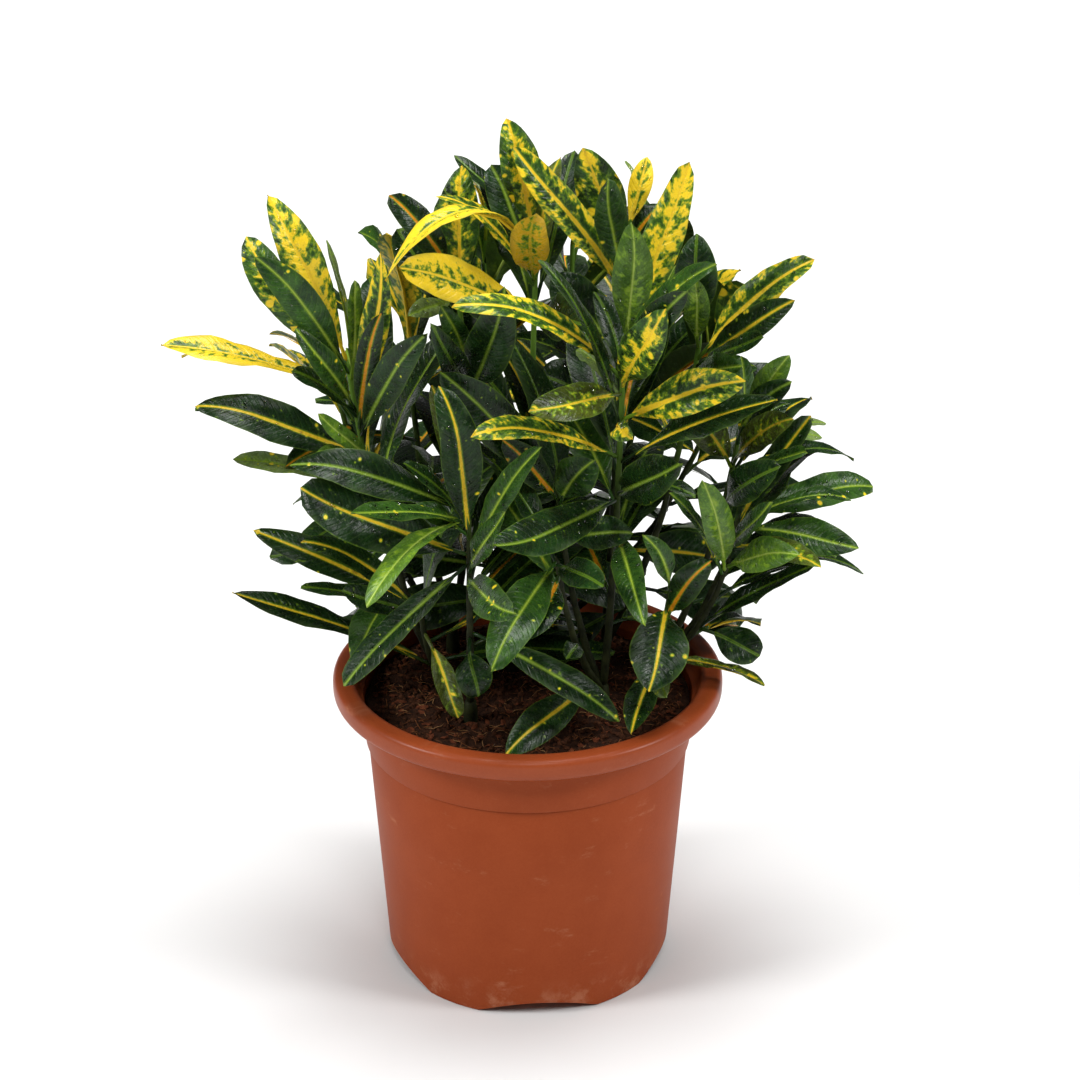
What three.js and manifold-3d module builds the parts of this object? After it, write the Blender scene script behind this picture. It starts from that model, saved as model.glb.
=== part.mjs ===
// A croton (Codiaeum variegatum) in a terracotta-coloured plastic nursery pot, in millimetres.
// +Z is up, z = 0 is the surface the pot stands on, and the pot's axis is x = y = 0.
// Eight rooted cuttings stand in plain holes in the soil. Each is one solid: a trunk, its shoots
// and every leaf on them. The leaves on the near side are placed one by one, and those inside the
// bush and on its far side follow the spiral in which a croton sets its leaves.
import * as THREE from "three";
import { mergeVertices } from "three/addons/utils/BufferGeometryUtils.js";
import Module from "manifold-3d";

const wasm = await Module();
wasm.setup();

// Driving dimensions: the pot
const POT_HEIGHT = 171.7;
const RIM_RADIUS = 105;
const RIM_DEPTH = 12;
const RIM_SQUARENESS = 0.7;
const MOUTH_RADIUS = 93;
const NECK_RADIUS = 91;
const STEP_HEIGHT = 133;
const STEP_RADIUS = 87;
const STEP_LEDGE = 1.2;
const FOOT_RADIUS = 77.8;
const WALL = 2;
const FLOOR_UNDERSIDE = 9.5;
const FOOT_RING = 4;
const FOOT_COUNT = 5;
const FIRST_ARCH_DEG = 4.5; // from the front, -Y, towards +X
const ARCH_WIDTH_DEG = 51;
const ARCH_HEIGHT = 8.5;
const DRAIN_RADIUS = 6;
const DRAIN_CIRCLE = 50;
const POT_SIDES = 36;

// Driving dimensions: the soil and the plants
const SOIL_EDGE = 156;
const SOIL_RISE = 3;
const SOIL_LUMP = 1.6;
const SOIL_SIDES = 18;
const GAP = 0.35;
const ROOT_DEPTH = 92;
const TRUNK_RADIUS = 3.9;
const TRUNK_SIDES = 6;
const FORK_HEIGHT = 169;
const SHOOT_RADIUS = 2.8;
const SHOOT_TIP_RADIUS = 1.6;
const SHOOT_SIDES = 4;
const SHOOT_STEPS = 4;
const SPREAD_LOW = 0.72; // part of a shoot's spread that it has made by
const BEND_HEIGHT = 0.35; // this part of its height

// Driving dimensions: a leaf
const PETIOLE_LENGTH = 11;
const PETIOLE_WIDTH = 2;
const BLADE_THICKNESS = 1.1;
const GUTTER = 0.2;
const WAVE = 0.07;
const WAVES = 1.4;
const WIDEST_AT = 1.27; // power that puts the widest place a little past the middle
const TIP_ROUNDNESS = 0.62;
const BLADE_STATIONS = [0.2, 0.5, 0.83];
const INNER_STATIONS = [0.32, 0.75];
const STALK_START = -0.75;
const SIDE_BEND = 2.5;
const TWIST_DEG = 14;
const FOOT_OUT = 0.3;
const CLEARANCE = 0.6;
const NODE_SPACING = 2.4;
const NODE_STEPS = 120;
const LOWEST_NODE = 0.1;
const HIGHEST_NODE = 0.97; // the last node's roots stay inside the shoot's tip

// Driving dimensions: the leaves that follow the spiral
const FIRST_SEED = 101;
const SPIRAL_DEG = 137.5;
const INNER_TURN = 0.618; // the same spiral, folded onto the half turn away from the eye
const LOWEST_LEAF = 0.22;
const TOP_PITCH_DEG = 68;
const LOW_PITCH_DEG = -26;
const CROWN = { centre: 292, across: 154, deep: 142, high: 150 };
const SHORTEST_LEAF = 44;

// The eye from which the near side is laid out: a person's, a little over a metre in front
const EYE = new THREE.Vector3(6.6, -1182.3, 784.7);
const LOOK = new THREE.Vector3(6.6, 0, 246.6);
const SIGHT = LOOK.clone().sub(EYE).normalize();
const SIGHT_LENGTH = LOOK.distanceTo(EYE);
const PICTURE_UP = new THREE.Vector3(1, 0, 0).cross(SIGHT).normalize();

const TERRACOTTA = { color: 0xa4552f, roughness: 0.55, metalness: 0 };
const SOIL_BROWN = { color: 0x3a2418, roughness: 1, metalness: 0 };
const LEAF_GREEN = { color: 0x2c4a1e, roughness: 0.4, metalness: 0 };

// Each cutting: where its trunk stands on the soil, and its shoots. A shoot's top is given as the
// eye sees it, across and up from the pot's axis and the look point, with its true depth behind
// the axis. A leaf is [across, up] of its base on the shoot, [across, up, depth] of its tip, its
// width, the rise of its arch, and its roll: 0 shows the upper face to the eye.
const CUTTINGS = [
  {
    trunk: [-46, -4],
    shoots: [
      {
        top: [-96, 100, -10],
        spiral: 4,
        leaves: [
          [-96, 100, -138, 181, -14, 21, 6, 12],
          [-95, 97, -150, 160, -8, 21, 6, -14],
          [-96, 97, -140, 151, -38, 18, 5, 10],
          [-95, 101, -92, 137, -26, 10, 3, 30],
          [-96, 98, -109, 157, 18, 12, 6, 68],
          [-96, 95, -193, 103, -10, 20, 4, 62],
          [-100, 88, -181, 102, 12, 14, 6, 75],
          [-95, 96, -134, 113, 22, 14, 4, 70],
          [-96, 84, -122, 109, -42, 14, 5, 18],
          [-93, 80, -124, 90, -32, 14, 4, 58],
          [-92, 100, -72, 151, -20, 15, 5, -22],
          [-90, 97, -79, 121, -42, 12, 3, -14],
          [-91, 74, -57, 110, -42, 18, 5, -12],
          [-92, 60, -115, 87, 8, 12, 4, 72],
        ],
      },
      {
        top: [-80, 46, -15],
        spiral: 3,
        leaves: [
          [-82, 43, -174, 76, -22, 22, 6, 18],
          [-82, 42, -176, 70, 4, 16, 6, 62],
          [-80, 46, -112, 65, -46, 10, 3, 30],
          [-76, 20, -154, 42, -2, 16, 6, 58],
          [-80, 44, -112, 46, -48, 11, 4, 55],
          [-76, 22, -124, 21, -28, 11, 4, 66],
        ],
      },
      {
        top: [-57, -34, -30],
        spiral: 3,
        leaves: [
          [-60, -32, -146, 5, -22, 17, 5, 26],
          [-60, -33, -117, 3, -52, 15, 5, 40],
          [-60, -35, -120, -25, -60, 15, 5, 50],
          [-60, -38, -99, -30, -74, 15, 4, 28],
          [-48, -66, -156, -30, -14, 18, 5, 56],
          [-54, -48, -38, -94, -62, 13, 4, -20],
        ],
      },
    ],
  },
  {
    trunk: [-30, -36],
    shoots: [
      {
        top: [-31, 19, -45],
        spiral: 7,
        leaves: [
          [-31, 14, -125, 44, -56, 22, 7, 16],
          [-30, -8, -121, 24, -66, 30, 6, 10],
          [-31, 13, -84, -35, -126, 16, 9, 56],
          [-30, -12, -98, -76, -62, 17, 3, 24],
          [-31, 17, -94, 12, -108, 16, 6, 54],
          [-31, 19, -65, 39, -62, 12, 4, 66],
          [-31, 17, -61, 18, -78, 12, 4, 38],
          [-31, 19, -40, 80, -50, 21, 5, 6],
          [-31, 19, -50, 82, -22, 16, 5, 22],
          [-31, 16, 7, 52, -72, 14, 5, -26],
          [-30, 4, -9, 15, -98, 14, 5, -36],
          [-30, -8, -8, -43, -139, 18, 5, 8],
          [-31, -48, 50, -94, -74, 17, 5, -14],
          [-31, -50, -24, -82, -66, 19, 5, 12],
        ],
      },
    ],
  },
  {
    trunk: [-8, 22],
    shoots: [
      {
        top: [5, 168, 15],
        spiral: 5,
        leaves: [
          [5, 156, -9, 222, 8, 21, 4, 8],
          [4, 142, -17, 198, 32, 19, 5, -10],
          [4, 160, -40, 200, 44, 16, 5, 66],
          [5, 138, 2, 173, -24, 20, 4, -6],
          [-2, 153, -78, 139, -35, 14, 30, 62],
          [4, 150, -45, 186, 6, 13, 6, 60],
          [6, 155, 14, 203, 34, 14, 4, -14],
          [6, 148, 22, 206, 50, 16, 4, 10],
          [5, 140, 30, 112, -26, 24, 4, -8],
          [3, 120, -69, 146, -38, 23, 6, 24],
          [-6, -30, -74, -40, 30, 26, 5, 20],
          [-5, -16, 56, -30, 34, 26, 5, -20],
        ],
      },
      {
        top: [-38, 150, 10],
        spiral: 5,
        leaves: [
          [-30, 75, -10, 128, -38, 24, 6, -8],
          [-38, 136, -71, 183, -2, 17, 5, 24],
          [-40, 122, -37, 197, 6, 21, 5, 4],
          [-38, 110, -70, 162, 28, 22, 5, 12],
          [-38, 125, -64, 119, -26, 11, 3, 20],
          [-36, 92, -44, 122, -28, 12, 4, 14],
          [-34, 75, -49, 107, -42, 15, 4, 18],
          [-16, -14, -70, -8, 34, 26, 5, 16],
        ],
      },
    ],
  },
  {
    trunk: [40, -18],
    shoots: [
      {
        top: [51, 105, -20],
        spiral: 9,
        leaves: [
          [51, 105, 58, 167, -34, 20, 4, -8],
          [51, 103, 88, 198, -14, 21, 5, -10],
          [50, 100, 100, 148, -56, 16, 9, -50],
          [50, 98, 82, 131, -52, 17, 5, -30],
          [49, 80, 72, 116, -58, 22, 5, -8],
          [50, 102, -37, 128, -52, 18, 10, 58],
          [50, 100, 3, 66, -78, 20, 6, 14],
          [49, 96, 27, 100, 4, 15, 4, 40],
          [49, 96, 36, 131, 0, 15, 5, 44],
          [47, 75, -10, 128, -24, 21, 6, 6],
          [46, 72, 112, 87, -58, 22, 5, -16],
          [46, 74, 53, 54, -54, 11, 4, 20],
          [43, 44, -29, 61, -72, 18, 5, 58],
          [43, 42, 132, 74, -46, 22, 6, -48],
          [44, 21, -17, -9, -106, 23, 5, 8],
          [44, 22, 82, 39, -88, 24, 5, -6],
          [43, 30, 87, 24, -64, 13, 4, -56],
          [44, 5, 60, -40, -112, 16, 5, 8],
          [50, 103, 11, 147, -30, 14, 5, 56],
        ],
      },
      {
        top: [15, 32, -15],
        spiral: 8,
        leaves: [
          [16, 30, -44, 90, -40, 24, 5, 8],
          [15, 20, -12, 55, -34, 16, 5, 6],
          [15, 0, 60, 5, -52, 18, 5, -20],
          [15, 18, 34, 43, -48, 22, 4, -10],
          [28, -44, -24, -34, -14, 24, 5, 12],
        ],
      },
      {
        top: [15, -8, -50],
        spiral: 6,
        leaves: [
          [15, -8, -20, -64, -132, 23, 6, 4],
          [18, -18, 0, -52, -108, 17, 5, 0],
          [15, -9, 42, -24, -106, 16, 5, -16],
          [36, -74, -14, -111, -84, 20, 4, 6],
          [28, -55, 20, -62, -76, 11, 3, 0],
        ],
      },
    ],
  },
  {
    trunk: [66, 4],
    shoots: [
      {
        top: [113, 62, 0],
        spiral: 3,
        leaves: [
          [113, 60, 136, 98, -12, 15, 4, -12],
          [113, 55, 136, 84, -32, 14, 4, -18],
          [112, 50, 139, 73, 10, 14, 4, -48],
          [112, 62, 113, 97, 2, 13, 4, 36],
          [105, 40, 141, 67, -48, 17, 5, -30],
          [101, 28, 148, 46, -38, 15, 5, -52],
          [107, 48, 159, 62, 30, 12, 4, -58],
          [106, 44, 156, 56, 14, 11, 4, -62],
          [104, 36, 172, 47, 16, 15, 6, -64],
          [92, 22, 132, 39, -62, 19, 5, -10],
          [96, 40, 83, 72, -34, 19, 5, 6],
        ],
      },
      {
        top: [112, 14, -15],
        spiral: 3,
        leaves: [
          [110, 0, 150, 65, -32, 15, 5, -28],
          [112, 12, 182, 31, 30, 20, 5, -18],
          [112, 14, 171, 24, -12, 16, 6, -58],
          [112, 9, 173, -6, -52, 19, 5, -26],
          [112, 8, 163, 8, 24, 13, 4, -58],
          [110, -4, 157, -13, -62, 15, 5, -30],
          [108, -6, 162, -11, -12, 13, 4, -68],
          [110, 14, 130, 17, -66, 13, 4, -50],
        ],
      },
      {
        top: [107, -8, -20],
        spiral: 2,
        leaves: [
          [106, -12, 178, -15, -2, 13, 5, -66],
          [105, -12, 140, -4, -54, 18, 4, -12],
          [107, -8, 99, 29, -34, 16, 4, 8],
          [106, -9, 75, 27, -44, 13, 4, 58],
          [86, -46, 152, -14, -32, 15, 5, -48],
          [95, -30, 145, -13, -2, 14, 4, -56],
          [84, -44, 122, -62, -30, 20, 4, -14],
        ],
      },
      {
        top: [75, -26, -35],
        spiral: 5,
        leaves: [
          [75, -26, 64, 3, -58, 12, 4, 20],
          [76, -44, 94, -11, -52, 16, 4, -6],
          [75, -28, 66, -80, -86, 30, 5, 0],
          [76, -50, 73, -84, -70, 14, 4, 32],
          [75, -60, 53, -103, -90, 16, 4, 14],
          [78, -66, 125, -76, -26, 14, 5, -60],
        ],
      },
    ],
  },
  {
    trunk: [42, 34],
    shoots: [
      {
        top: [92, 112, 10],
        spiral: 4,
        leaves: [
          [92, 104, 88, 161, 6, 22, 4, 4],
          [92, 100, 90, 136, -16, 13, 3, -10],
          [90, 98, 82, 141, 2, 12, 4, 58],
          [90, 103, 150, 150, -4, 19, 6, -22],
          [88, 92, 141, 128, -20, 17, 5, -20],
          [88, 88, 124, 104, -28, 14, 4, -58],
          [88, 90, 111, 91, -32, 17, 4, -22],
          [87, 85, 120, 94, 18, 13, 4, -30],
          [54, -24, 116, -42, 34, 26, 5, -16],
          [50, -34, 6, -62, 26, 24, 5, 12],
        ],
      },
      {
        top: [51, 166, 25],
        spiral: 4,
        leaves: [
          [48, 142, 30, 207, 22, 24, 5, 4],
          [49, 142, 39, 190, -2, 17, 5, 14],
          [51, 166, 63, 202, 36, 12, 3, -10],
          [51, 165, 55, 200, 50, 12, 4, 60],
          [50, 150, 72, 178, 36, 14, 4, -20],
          [47, 132, -9, 204, -2, 18, 8, 16],
          [46, -6, 102, -10, 40, 25, 5, -14],
          [48, 66, 6, 88, 48, 25, 5, 10],
          [49, 96, 14, 140, 44, 24, 5, 8],
          [47, 20, 2, 34, 44, 25, 5, 12],
        ],
      },
    ],
  },
  {
    trunk: [-42, 46],
    shoots: [
      { top: [-66, 132, 62], spiral: 19, leaves: [] },
      { top: [-22, 166, 84], spiral: 19, leaves: [] },
      { top: [-104, 92, 36], spiral: 15, leaves: [] },
    ],
  },
  {
    trunk: [16, 62],
    shoots: [
      { top: [24, 166, 92], spiral: 17, leaves: [] },
      { top: [72, 138, 72], spiral: 19, leaves: [] },
      { top: [106, 92, 46], spiral: 15, leaves: [] },
    ],
  },
];

// Solids

// A closed solid from its corners and the triangles that join them.
function solidOf(corners, triangles) {
  const vertProperties = new Float32Array(corners.flatMap((c) => [c.x, c.y, c.z]));
  const triVerts = new Uint32Array(triangles.flat());
  return new wasm.Manifold(new wasm.Mesh({ numProp: 3, vertProperties, triVerts }));
}

function solidOfGeometry(geometry) {
  geometry.deleteAttribute("normal");
  geometry.deleteAttribute("uv");
  const merged = mergeVertices(geometry, 1e-4);
  return new wasm.Manifold(
    new wasm.Mesh({
      numProp: 3,
      vertProperties: new Float32Array(merged.getAttribute("position").array),
      triVerts: new Uint32Array(merged.index.array),
    }),
  );
}

// Skins a row of rings that all have the same number of corners, closed at each end by a point or
// a flat cap. Both faces of a blade are split along the same diagonals, from its edge to its
// middle, so that a wave never makes them cross.
function skin(rings, tip, root) {
  const sides = rings[0].length;
  const corners = rings.flat();
  const triangles = [];
  if (root) {
    corners.push(root);
    for (let k = 0; k < sides; k++) triangles.push([corners.length - 1, (k + 1) % sides, k]);
  } else {
    for (let k = 1; k + 1 < sides; k++) triangles.push([0, k + 1, k]);
  }
  for (let i = 0; i + 1 < rings.length; i++) {
    for (let k = 0; k < sides; k++) {
      const here = i * sides + k;
      const beside = i * sides + ((k + 1) % sides);
      const above = here + sides;
      const across = beside + sides;
      if (k % 2) triangles.push([here, beside, above], [beside, across, above]);
      else triangles.push([here, beside, across], [here, across, above]);
    }
  }
  const last = (rings.length - 1) * sides;
  if (tip) {
    corners.push(tip);
    for (let k = 0; k < sides; k++) {
      triangles.push([last + k, last + ((k + 1) % sides), corners.length - 1]);
    }
  } else {
    for (let k = 1; k + 1 < sides; k++) triangles.push([last, last + k, last + k + 1]);
  }
  return solidOf(corners, triangles);
}

function turned(profile, sides) {
  const points = profile.map(([r, z]) => new THREE.Vector2(r, z));
  return solidOfGeometry(new THREE.LatheGeometry(points, sides).rotateX(Math.PI / 2));
}

function named(name, solid, finish) {
  const { vertProperties, triVerts } = solid.getMesh();
  const geometry = new THREE.BufferGeometry();
  geometry.setAttribute("position", new THREE.BufferAttribute(vertProperties, 3));
  geometry.setIndex(new THREE.BufferAttribute(triVerts, 1));
  geometry.computeVertexNormals();
  const mesh = new THREE.Mesh(geometry, new THREE.MeshStandardMaterial(finish));
  mesh.name = name;
  return mesh;
}

// The same draws on every run, from 0 to 1.
function drawsFrom(seed) {
  let state = seed;
  return () => {
    state = (state * 48271) % 2147483647;
    return state / 2147483647;
  };
}

const degrees = (angle) => (angle * Math.PI) / 180;
const mix = (from, to, part) => from + (to - from) * part;

// The pot

const bodyRadius = (z) => mix(FOOT_RADIUS, STEP_RADIUS, z / STEP_HEIGHT);

// The outer wall rises from the foot to a small ledge, then to the neck and the rolled rim. The
// inner wall comes down behind it to the raised floor, and the foot ring closes the profile.
function potProfile() {
  const rimMiddle = (RIM_RADIUS + MOUTH_RADIUS) / 2;
  const rimHalf = (RIM_RADIUS - MOUTH_RADIUS) / 2;
  const rimHeight = POT_HEIGHT - RIM_DEPTH / 2;
  const squared = (value) => Math.sign(value) * Math.abs(value) ** RIM_SQUARENESS;
  const roll = [-65, -20, 25, 70, 115, 160].map((angle) => [
    rimMiddle + rimHalf * squared(Math.cos(degrees(angle))),
    rimHeight + (RIM_DEPTH / 2) * squared(Math.sin(degrees(angle))),
  ]);
  const floorTop = FLOOR_UNDERSIDE + WALL;
  return [
    [0, floorTop],
    [0, FLOOR_UNDERSIDE],
    [bodyRadius(FLOOR_UNDERSIDE) - FOOT_RING, FLOOR_UNDERSIDE],
    [FOOT_RADIUS - FOOT_RING, 0],
    [FOOT_RADIUS, 0],
    [STEP_RADIUS, STEP_HEIGHT],
    [STEP_RADIUS + STEP_LEDGE, STEP_HEIGHT],
    [NECK_RADIUS, POT_HEIGHT - RIM_DEPTH - 1],
    ...roll,
    [NECK_RADIUS - WALL, POT_HEIGHT - RIM_DEPTH - 1],
    [STEP_RADIUS + STEP_LEDGE - WALL, STEP_HEIGHT],
    [STEP_RADIUS - WALL, STEP_HEIGHT - WALL],
    [bodyRadius(floorTop) - WALL, floorTop],
    [0, floorTop],
  ];
}

// An arched notch in the foot ring, pointing along +X.
function archCutter() {
  const halfWidth = FOOT_RADIUS * Math.sin(degrees(ARCH_WIDTH_DEG / 2));
  const outline = new THREE.Shape();
  outline.moveTo(-halfWidth, -1);
  outline.lineTo(halfWidth, -1);
  outline.lineTo(halfWidth, 0);
  outline.quadraticCurveTo(halfWidth / 2, ARCH_HEIGHT, 0, ARCH_HEIGHT);
  outline.quadraticCurveTo(-halfWidth / 2, ARCH_HEIGHT, -halfWidth, 0);
  const cutter = new THREE.ExtrudeGeometry(outline, {
    depth: FOOT_RADIUS / 2,
    bevelEnabled: false,
    curveSegments: 3,
  });
  return cutter.rotateX(Math.PI / 2).rotateZ(Math.PI / 2).translate(FOOT_RADIUS * 0.6, 0, 0);
}

function makePot() {
  let pot = turned(potProfile(), POT_SIDES);
  for (let i = 0; i < FOOT_COUNT; i++) {
    const arch = degrees(FIRST_ARCH_DEG - 90 + (360 / FOOT_COUNT) * i);
    pot = pot.subtract(solidOfGeometry(archCutter().rotateZ(arch)));
    const drain = new THREE.CylinderGeometry(DRAIN_RADIUS, DRAIN_RADIUS, 4 * WALL, 9);
    drain.rotateX(Math.PI / 2);
    drain.translate(
      DRAIN_CIRCLE * Math.cos(arch),
      DRAIN_CIRCLE * Math.sin(arch),
      FLOOR_UNDERSIDE + WALL / 2,
    );
    pot = pot.subtract(solidOfGeometry(drain));
  }
  return pot;
}

// The soil

// A turned plug that fills the pot to a low, lumpy dome.
function makeSoil() {
  const floorTop = FLOOR_UNDERSIDE + WALL + GAP;
  const inset = WALL + GAP;
  const draw = drawsFrom(29);
  const rings = [
    [bodyRadius(floorTop) - inset, floorTop],
    [STEP_RADIUS - inset - GAP, STEP_HEIGHT - WALL],
    [STEP_RADIUS + STEP_LEDGE - inset - GAP, STEP_HEIGHT + 1],
    [mix(STEP_RADIUS + STEP_LEDGE, NECK_RADIUS, 0.82) - inset - GAP, SOIL_EDGE],
    [68, SOIL_EDGE + SOIL_RISE * 0.4],
    [42, SOIL_EDGE + SOIL_RISE * 0.8],
    [16, SOIL_EDGE + SOIL_RISE],
  ].map(([radius, height], ring) => {
    const lump = ring > 3 ? SOIL_LUMP : 0;
    return Array.from({ length: SOIL_SIDES }, (_, k) => {
      const turn = (2 * Math.PI * k) / SOIL_SIDES;
      return new THREE.Vector3(
        radius * Math.cos(turn),
        radius * Math.sin(turn),
        height + lump * (draw() - 0.5) * 2,
      );
    });
  });
  return skin(rings, new THREE.Vector3(0, 0, SOIL_EDGE + SOIL_RISE));
}

// Stems

// A tube round a line of points, with a radius at each of them.
function tube(points, radii, sides) {
  const rings = points.map((point, i) => {
    const before = points[Math.max(i - 1, 0)];
    const after = points[Math.min(i + 1, points.length - 1)];
    const along = after.clone().sub(before).normalize();
    const right = new THREE.Vector3(0, 1, 0).cross(along).normalize();
    const far = along.clone().cross(right);
    return Array.from({ length: sides }, (_, k) => {
      const turn = (2 * Math.PI * k) / sides;
      return point
        .clone()
        .addScaledVector(right, radii[i] * Math.cos(turn))
        .addScaledVector(far, radii[i] * Math.sin(turn));
    });
  });
  return skin(rings);
}

// A point given as the eye sees it: across and up on the picture plane, and its true depth.
function seen(across, up, depth) {
  const onPlane = LOOK.clone().setX(across).addScaledVector(PICTURE_UP, up);
  return EYE.clone().lerp(onPlane, (depth - EYE.y) / (onPlane.y - EYE.y));
}

// Where on the picture plane the eye sees a point.
function asSeen(point) {
  const ray = point.clone().sub(EYE);
  const onPlane = EYE.clone().addScaledVector(ray, SIGHT_LENGTH / ray.dot(SIGHT));
  return [onPlane.x, onPlane.clone().sub(LOOK).dot(PICTURE_UP)];
}

// The straight lengths of a shoot's middle line. It leaves the fork outwards and then turns up.
function shootLine([x, y], [across, up, depth]) {
  const fork = new THREE.Vector3(x, y, FORK_HEIGHT - 3);
  const top = seen(across, up, depth);
  const bend = fork.clone().lerp(top, SPREAD_LOW);
  bend.z = mix(fork.z, top.z, BEND_HEIGHT);
  return new THREE.QuadraticBezierCurve3(fork, bend, top).getPoints(SHOOT_STEPS);
}

// The point part of the way up a shoot.
function pointUp(points, part) {
  const lengths = Math.min(Math.floor(part * SHOOT_STEPS), SHOOT_STEPS - 1);
  return points[lengths].clone().lerp(points[lengths + 1], part * SHOOT_STEPS - lengths);
}

function shootSolid(points) {
  const radii = points.map((_, i) => mix(SHOOT_RADIUS, SHOOT_TIP_RADIUS, i / SHOOT_STEPS));
  return tube(points, radii, SHOOT_SIDES);
}

// A trunk, thickened by swell: the hole in the soil is the same shape with a gap all round.
function trunkSolid([x, y], swell) {
  const bottom = SOIL_EDGE - ROOT_DEPTH - swell;
  const heights = [bottom, SOIL_EDGE - 20, FORK_HEIGHT, FORK_HEIGHT + 3];
  const points = heights.map((z) => new THREE.Vector3(x, y, z));
  const radii = [0.8, 1, 1, 0.6].map((part) => part * TRUNK_RADIUS + swell);
  return tube(points, radii, TRUNK_SIDES);
}

// Leaves

// A leaf's centreline, and the way that its upper face looks. It bends only about its own width,
// so the arch rises along the face. A rule on its number gives it a small bend aside and a twist.
function leafForm({ node, tip, width, arch, face, number, stations }) {
  const base = node.point;
  const chord = tip.clone().sub(base);
  const length = chord.length();
  chord.normalize();
  const aside = chord.clone().cross(face);
  const middle = base
    .clone()
    .lerp(tip, 0.5)
    .addScaledVector(face, 2 * arch)
    .addScaledVector(aside, SIDE_BEND * Math.sin(number * 2.4));
  const line = new THREE.QuadraticBezierCurve3(base, middle, tip);
  const twist = degrees(TWIST_DEG * Math.sin(number * 1.7));
  return { line, length, width, face, twist, number, stations, foot: node.radius + FOOT_OUT };
}

function halfWidth(width, along) {
  const bulge = Math.sin(Math.PI * along ** WIDEST_AT) ** TIP_ROUNDNESS;
  return Math.max(PETIOLE_WIDTH / 2, (width / 2) * bulge);
}

// How far the waved margin stands above the blade at a place along it, on one side.
function waveAt(width, along, side, number) {
  return WAVE * width * Math.sin(2 * Math.PI * WAVES * along + side * 1.1 + number);
}

// The left, middle and right points of a blade at a place along it, and the face's normal there.
function sectionAt({ line, length, width, face, twist, number }, along) {
  const petiole = PETIOLE_LENGTH / length;
  const place = along < 0 ? petiole * (1 + along) : mix(petiole, 1, along);
  const ahead = line.getTangent(place);
  const turn = twist * Math.max(0, along);
  const normal = face.clone().addScaledVector(ahead, -face.dot(ahead)).normalize();
  normal.applyAxisAngle(ahead, turn);
  const right = ahead.clone().cross(normal);
  const middle = line.getPoint(place);
  const half = along < 0 ? PETIOLE_WIDTH / 2 : halfWidth(width, along);
  const fold = along < 0 ? 0 : GUTTER * half;
  const edge = (side) =>
    middle
      .clone()
      .addScaledVector(right, side * half)
      .addScaledVector(normal, fold + (along > 0 ? waveAt(width, along, side, number) : 0));
  return { left: edge(-1), middle, right: edge(1), normal, aside: right };
}

// A leaf as a solid: a petiole rooted in the shoot's middle, and a folded, waved blade.
function leafSolid(form) {
  const rings = [form.foot / PETIOLE_LENGTH - 1, ...form.stations].map((along) => {
    const { left, middle, right, normal } = sectionAt(form, along);
    const half = along <= 0 ? PETIOLE_WIDTH * 0.4 : BLADE_THICKNESS / 2;
    const top = middle.clone().addScaledVector(normal, half);
    const under = middle.clone().addScaledVector(normal, -half);
    return [left, top, right, under];
  });
  return skin(rings, form.line.getPoint(1), form.line.getPoint(0));
}

// The room that a leaf keeps free between some stations: the same form, thicker and wider.
function roomOf(form, stations) {
  const rings = stations.map((along) => {
    const { left, middle, right, normal, aside } = sectionAt(form, along);
    const reach = BLADE_THICKNESS / 2 + CLEARANCE;
    const shift = (point, outward, up) =>
      point
        .clone()
        .addScaledVector(aside, outward * CLEARANCE)
        .addScaledVector(normal, up * reach);
    return [
      shift(left, -1, 1),
      shift(middle, 0, 1),
      shift(right, 1, 1),
      shift(right, 1, -1),
      shift(middle, 0, -1),
      shift(left, -1, -1),
    ];
  });
  return skin(rings);
}

function boxOf(solid) {
  const { min, max } = solid.boundingBox();
  return new THREE.Box3(new THREE.Vector3(...min), new THREE.Vector3(...max));
}

// What a new leaf must keep clear of: the pot, the soil, the stems and the leaves before it.
const obstacles = [];

function addObstacle(solid, shoot, cutting) {
  obstacles.push({ solid, shoot, cutting, box: boxOf(solid) });
}

function isClear(room, matters) {
  const box = boxOf(room);
  return obstacles.filter(matters).every((other) => {
    if (!other.box.intersectsBox(box)) return true;
    const common = room.intersect(other.solid);
    const apart = common.isEmpty();
    common.delete();
    return apart;
  });
}

// The first of a leaf's possible forms that is clear, or nothing if all of them cross. A blade
// clears everything but its own shoot, and a stalk clears what belongs to other cuttings.
function firstClear(forms, shoot) {
  for (const form of forms) {
    const blade = roomOf(form, [...form.stations, 1]);
    const stalk = roomOf(form, [STALK_START, form.stations[0]]);
    const bladeClear = isClear(blade, (other) => other.shoot !== shoot);
    if (bladeClear && isClear(stalk, (other) => other.cutting !== shoot.cutting)) {
      addObstacle(blade, null, shoot.cutting);
      addObstacle(stalk, shoot, shoot.cutting);
      return leafSolid(form);
    }
    blade.delete();
    stalk.delete();
  }
  return null;
}

// The ways to bend a leaf clear that the eye notices least: nearer or farther first, then aside.
function bends() {
  const offsets = [];
  for (const [aside, rise] of [[0, 0], [0, 4], [0, -4], [4, 0], [-4, 0], [5, 7], [-5, 7]]) {
    for (const depth of [0, -5, 5, -10, 10, -15, 15, -20, 20, -26, 26]) {
      offsets.push([aside, rise, depth]);
    }
  }
  return offsets;
}

// The free node of a shoot where a leaf's base lies best, which that leaf then takes.
function takeNode({ points, taken }, distance) {
  let best = null;
  let least = Infinity;
  for (let i = 0; i <= NODE_STEPS; i++) {
    const part = mix(HIGHEST_NODE, LOWEST_NODE, i / NODE_STEPS);
    const point = pointUp(points, part);
    const off = distance(point);
    const free = taken.every((other) => other.point.distanceTo(point) > NODE_SPACING);
    if (free && off < least) {
      least = off;
      best = { point, radius: mix(SHOOT_RADIUS, SHOOT_TIP_RADIUS, part) };
    }
  }
  taken.push(best);
  return best;
}

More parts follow.
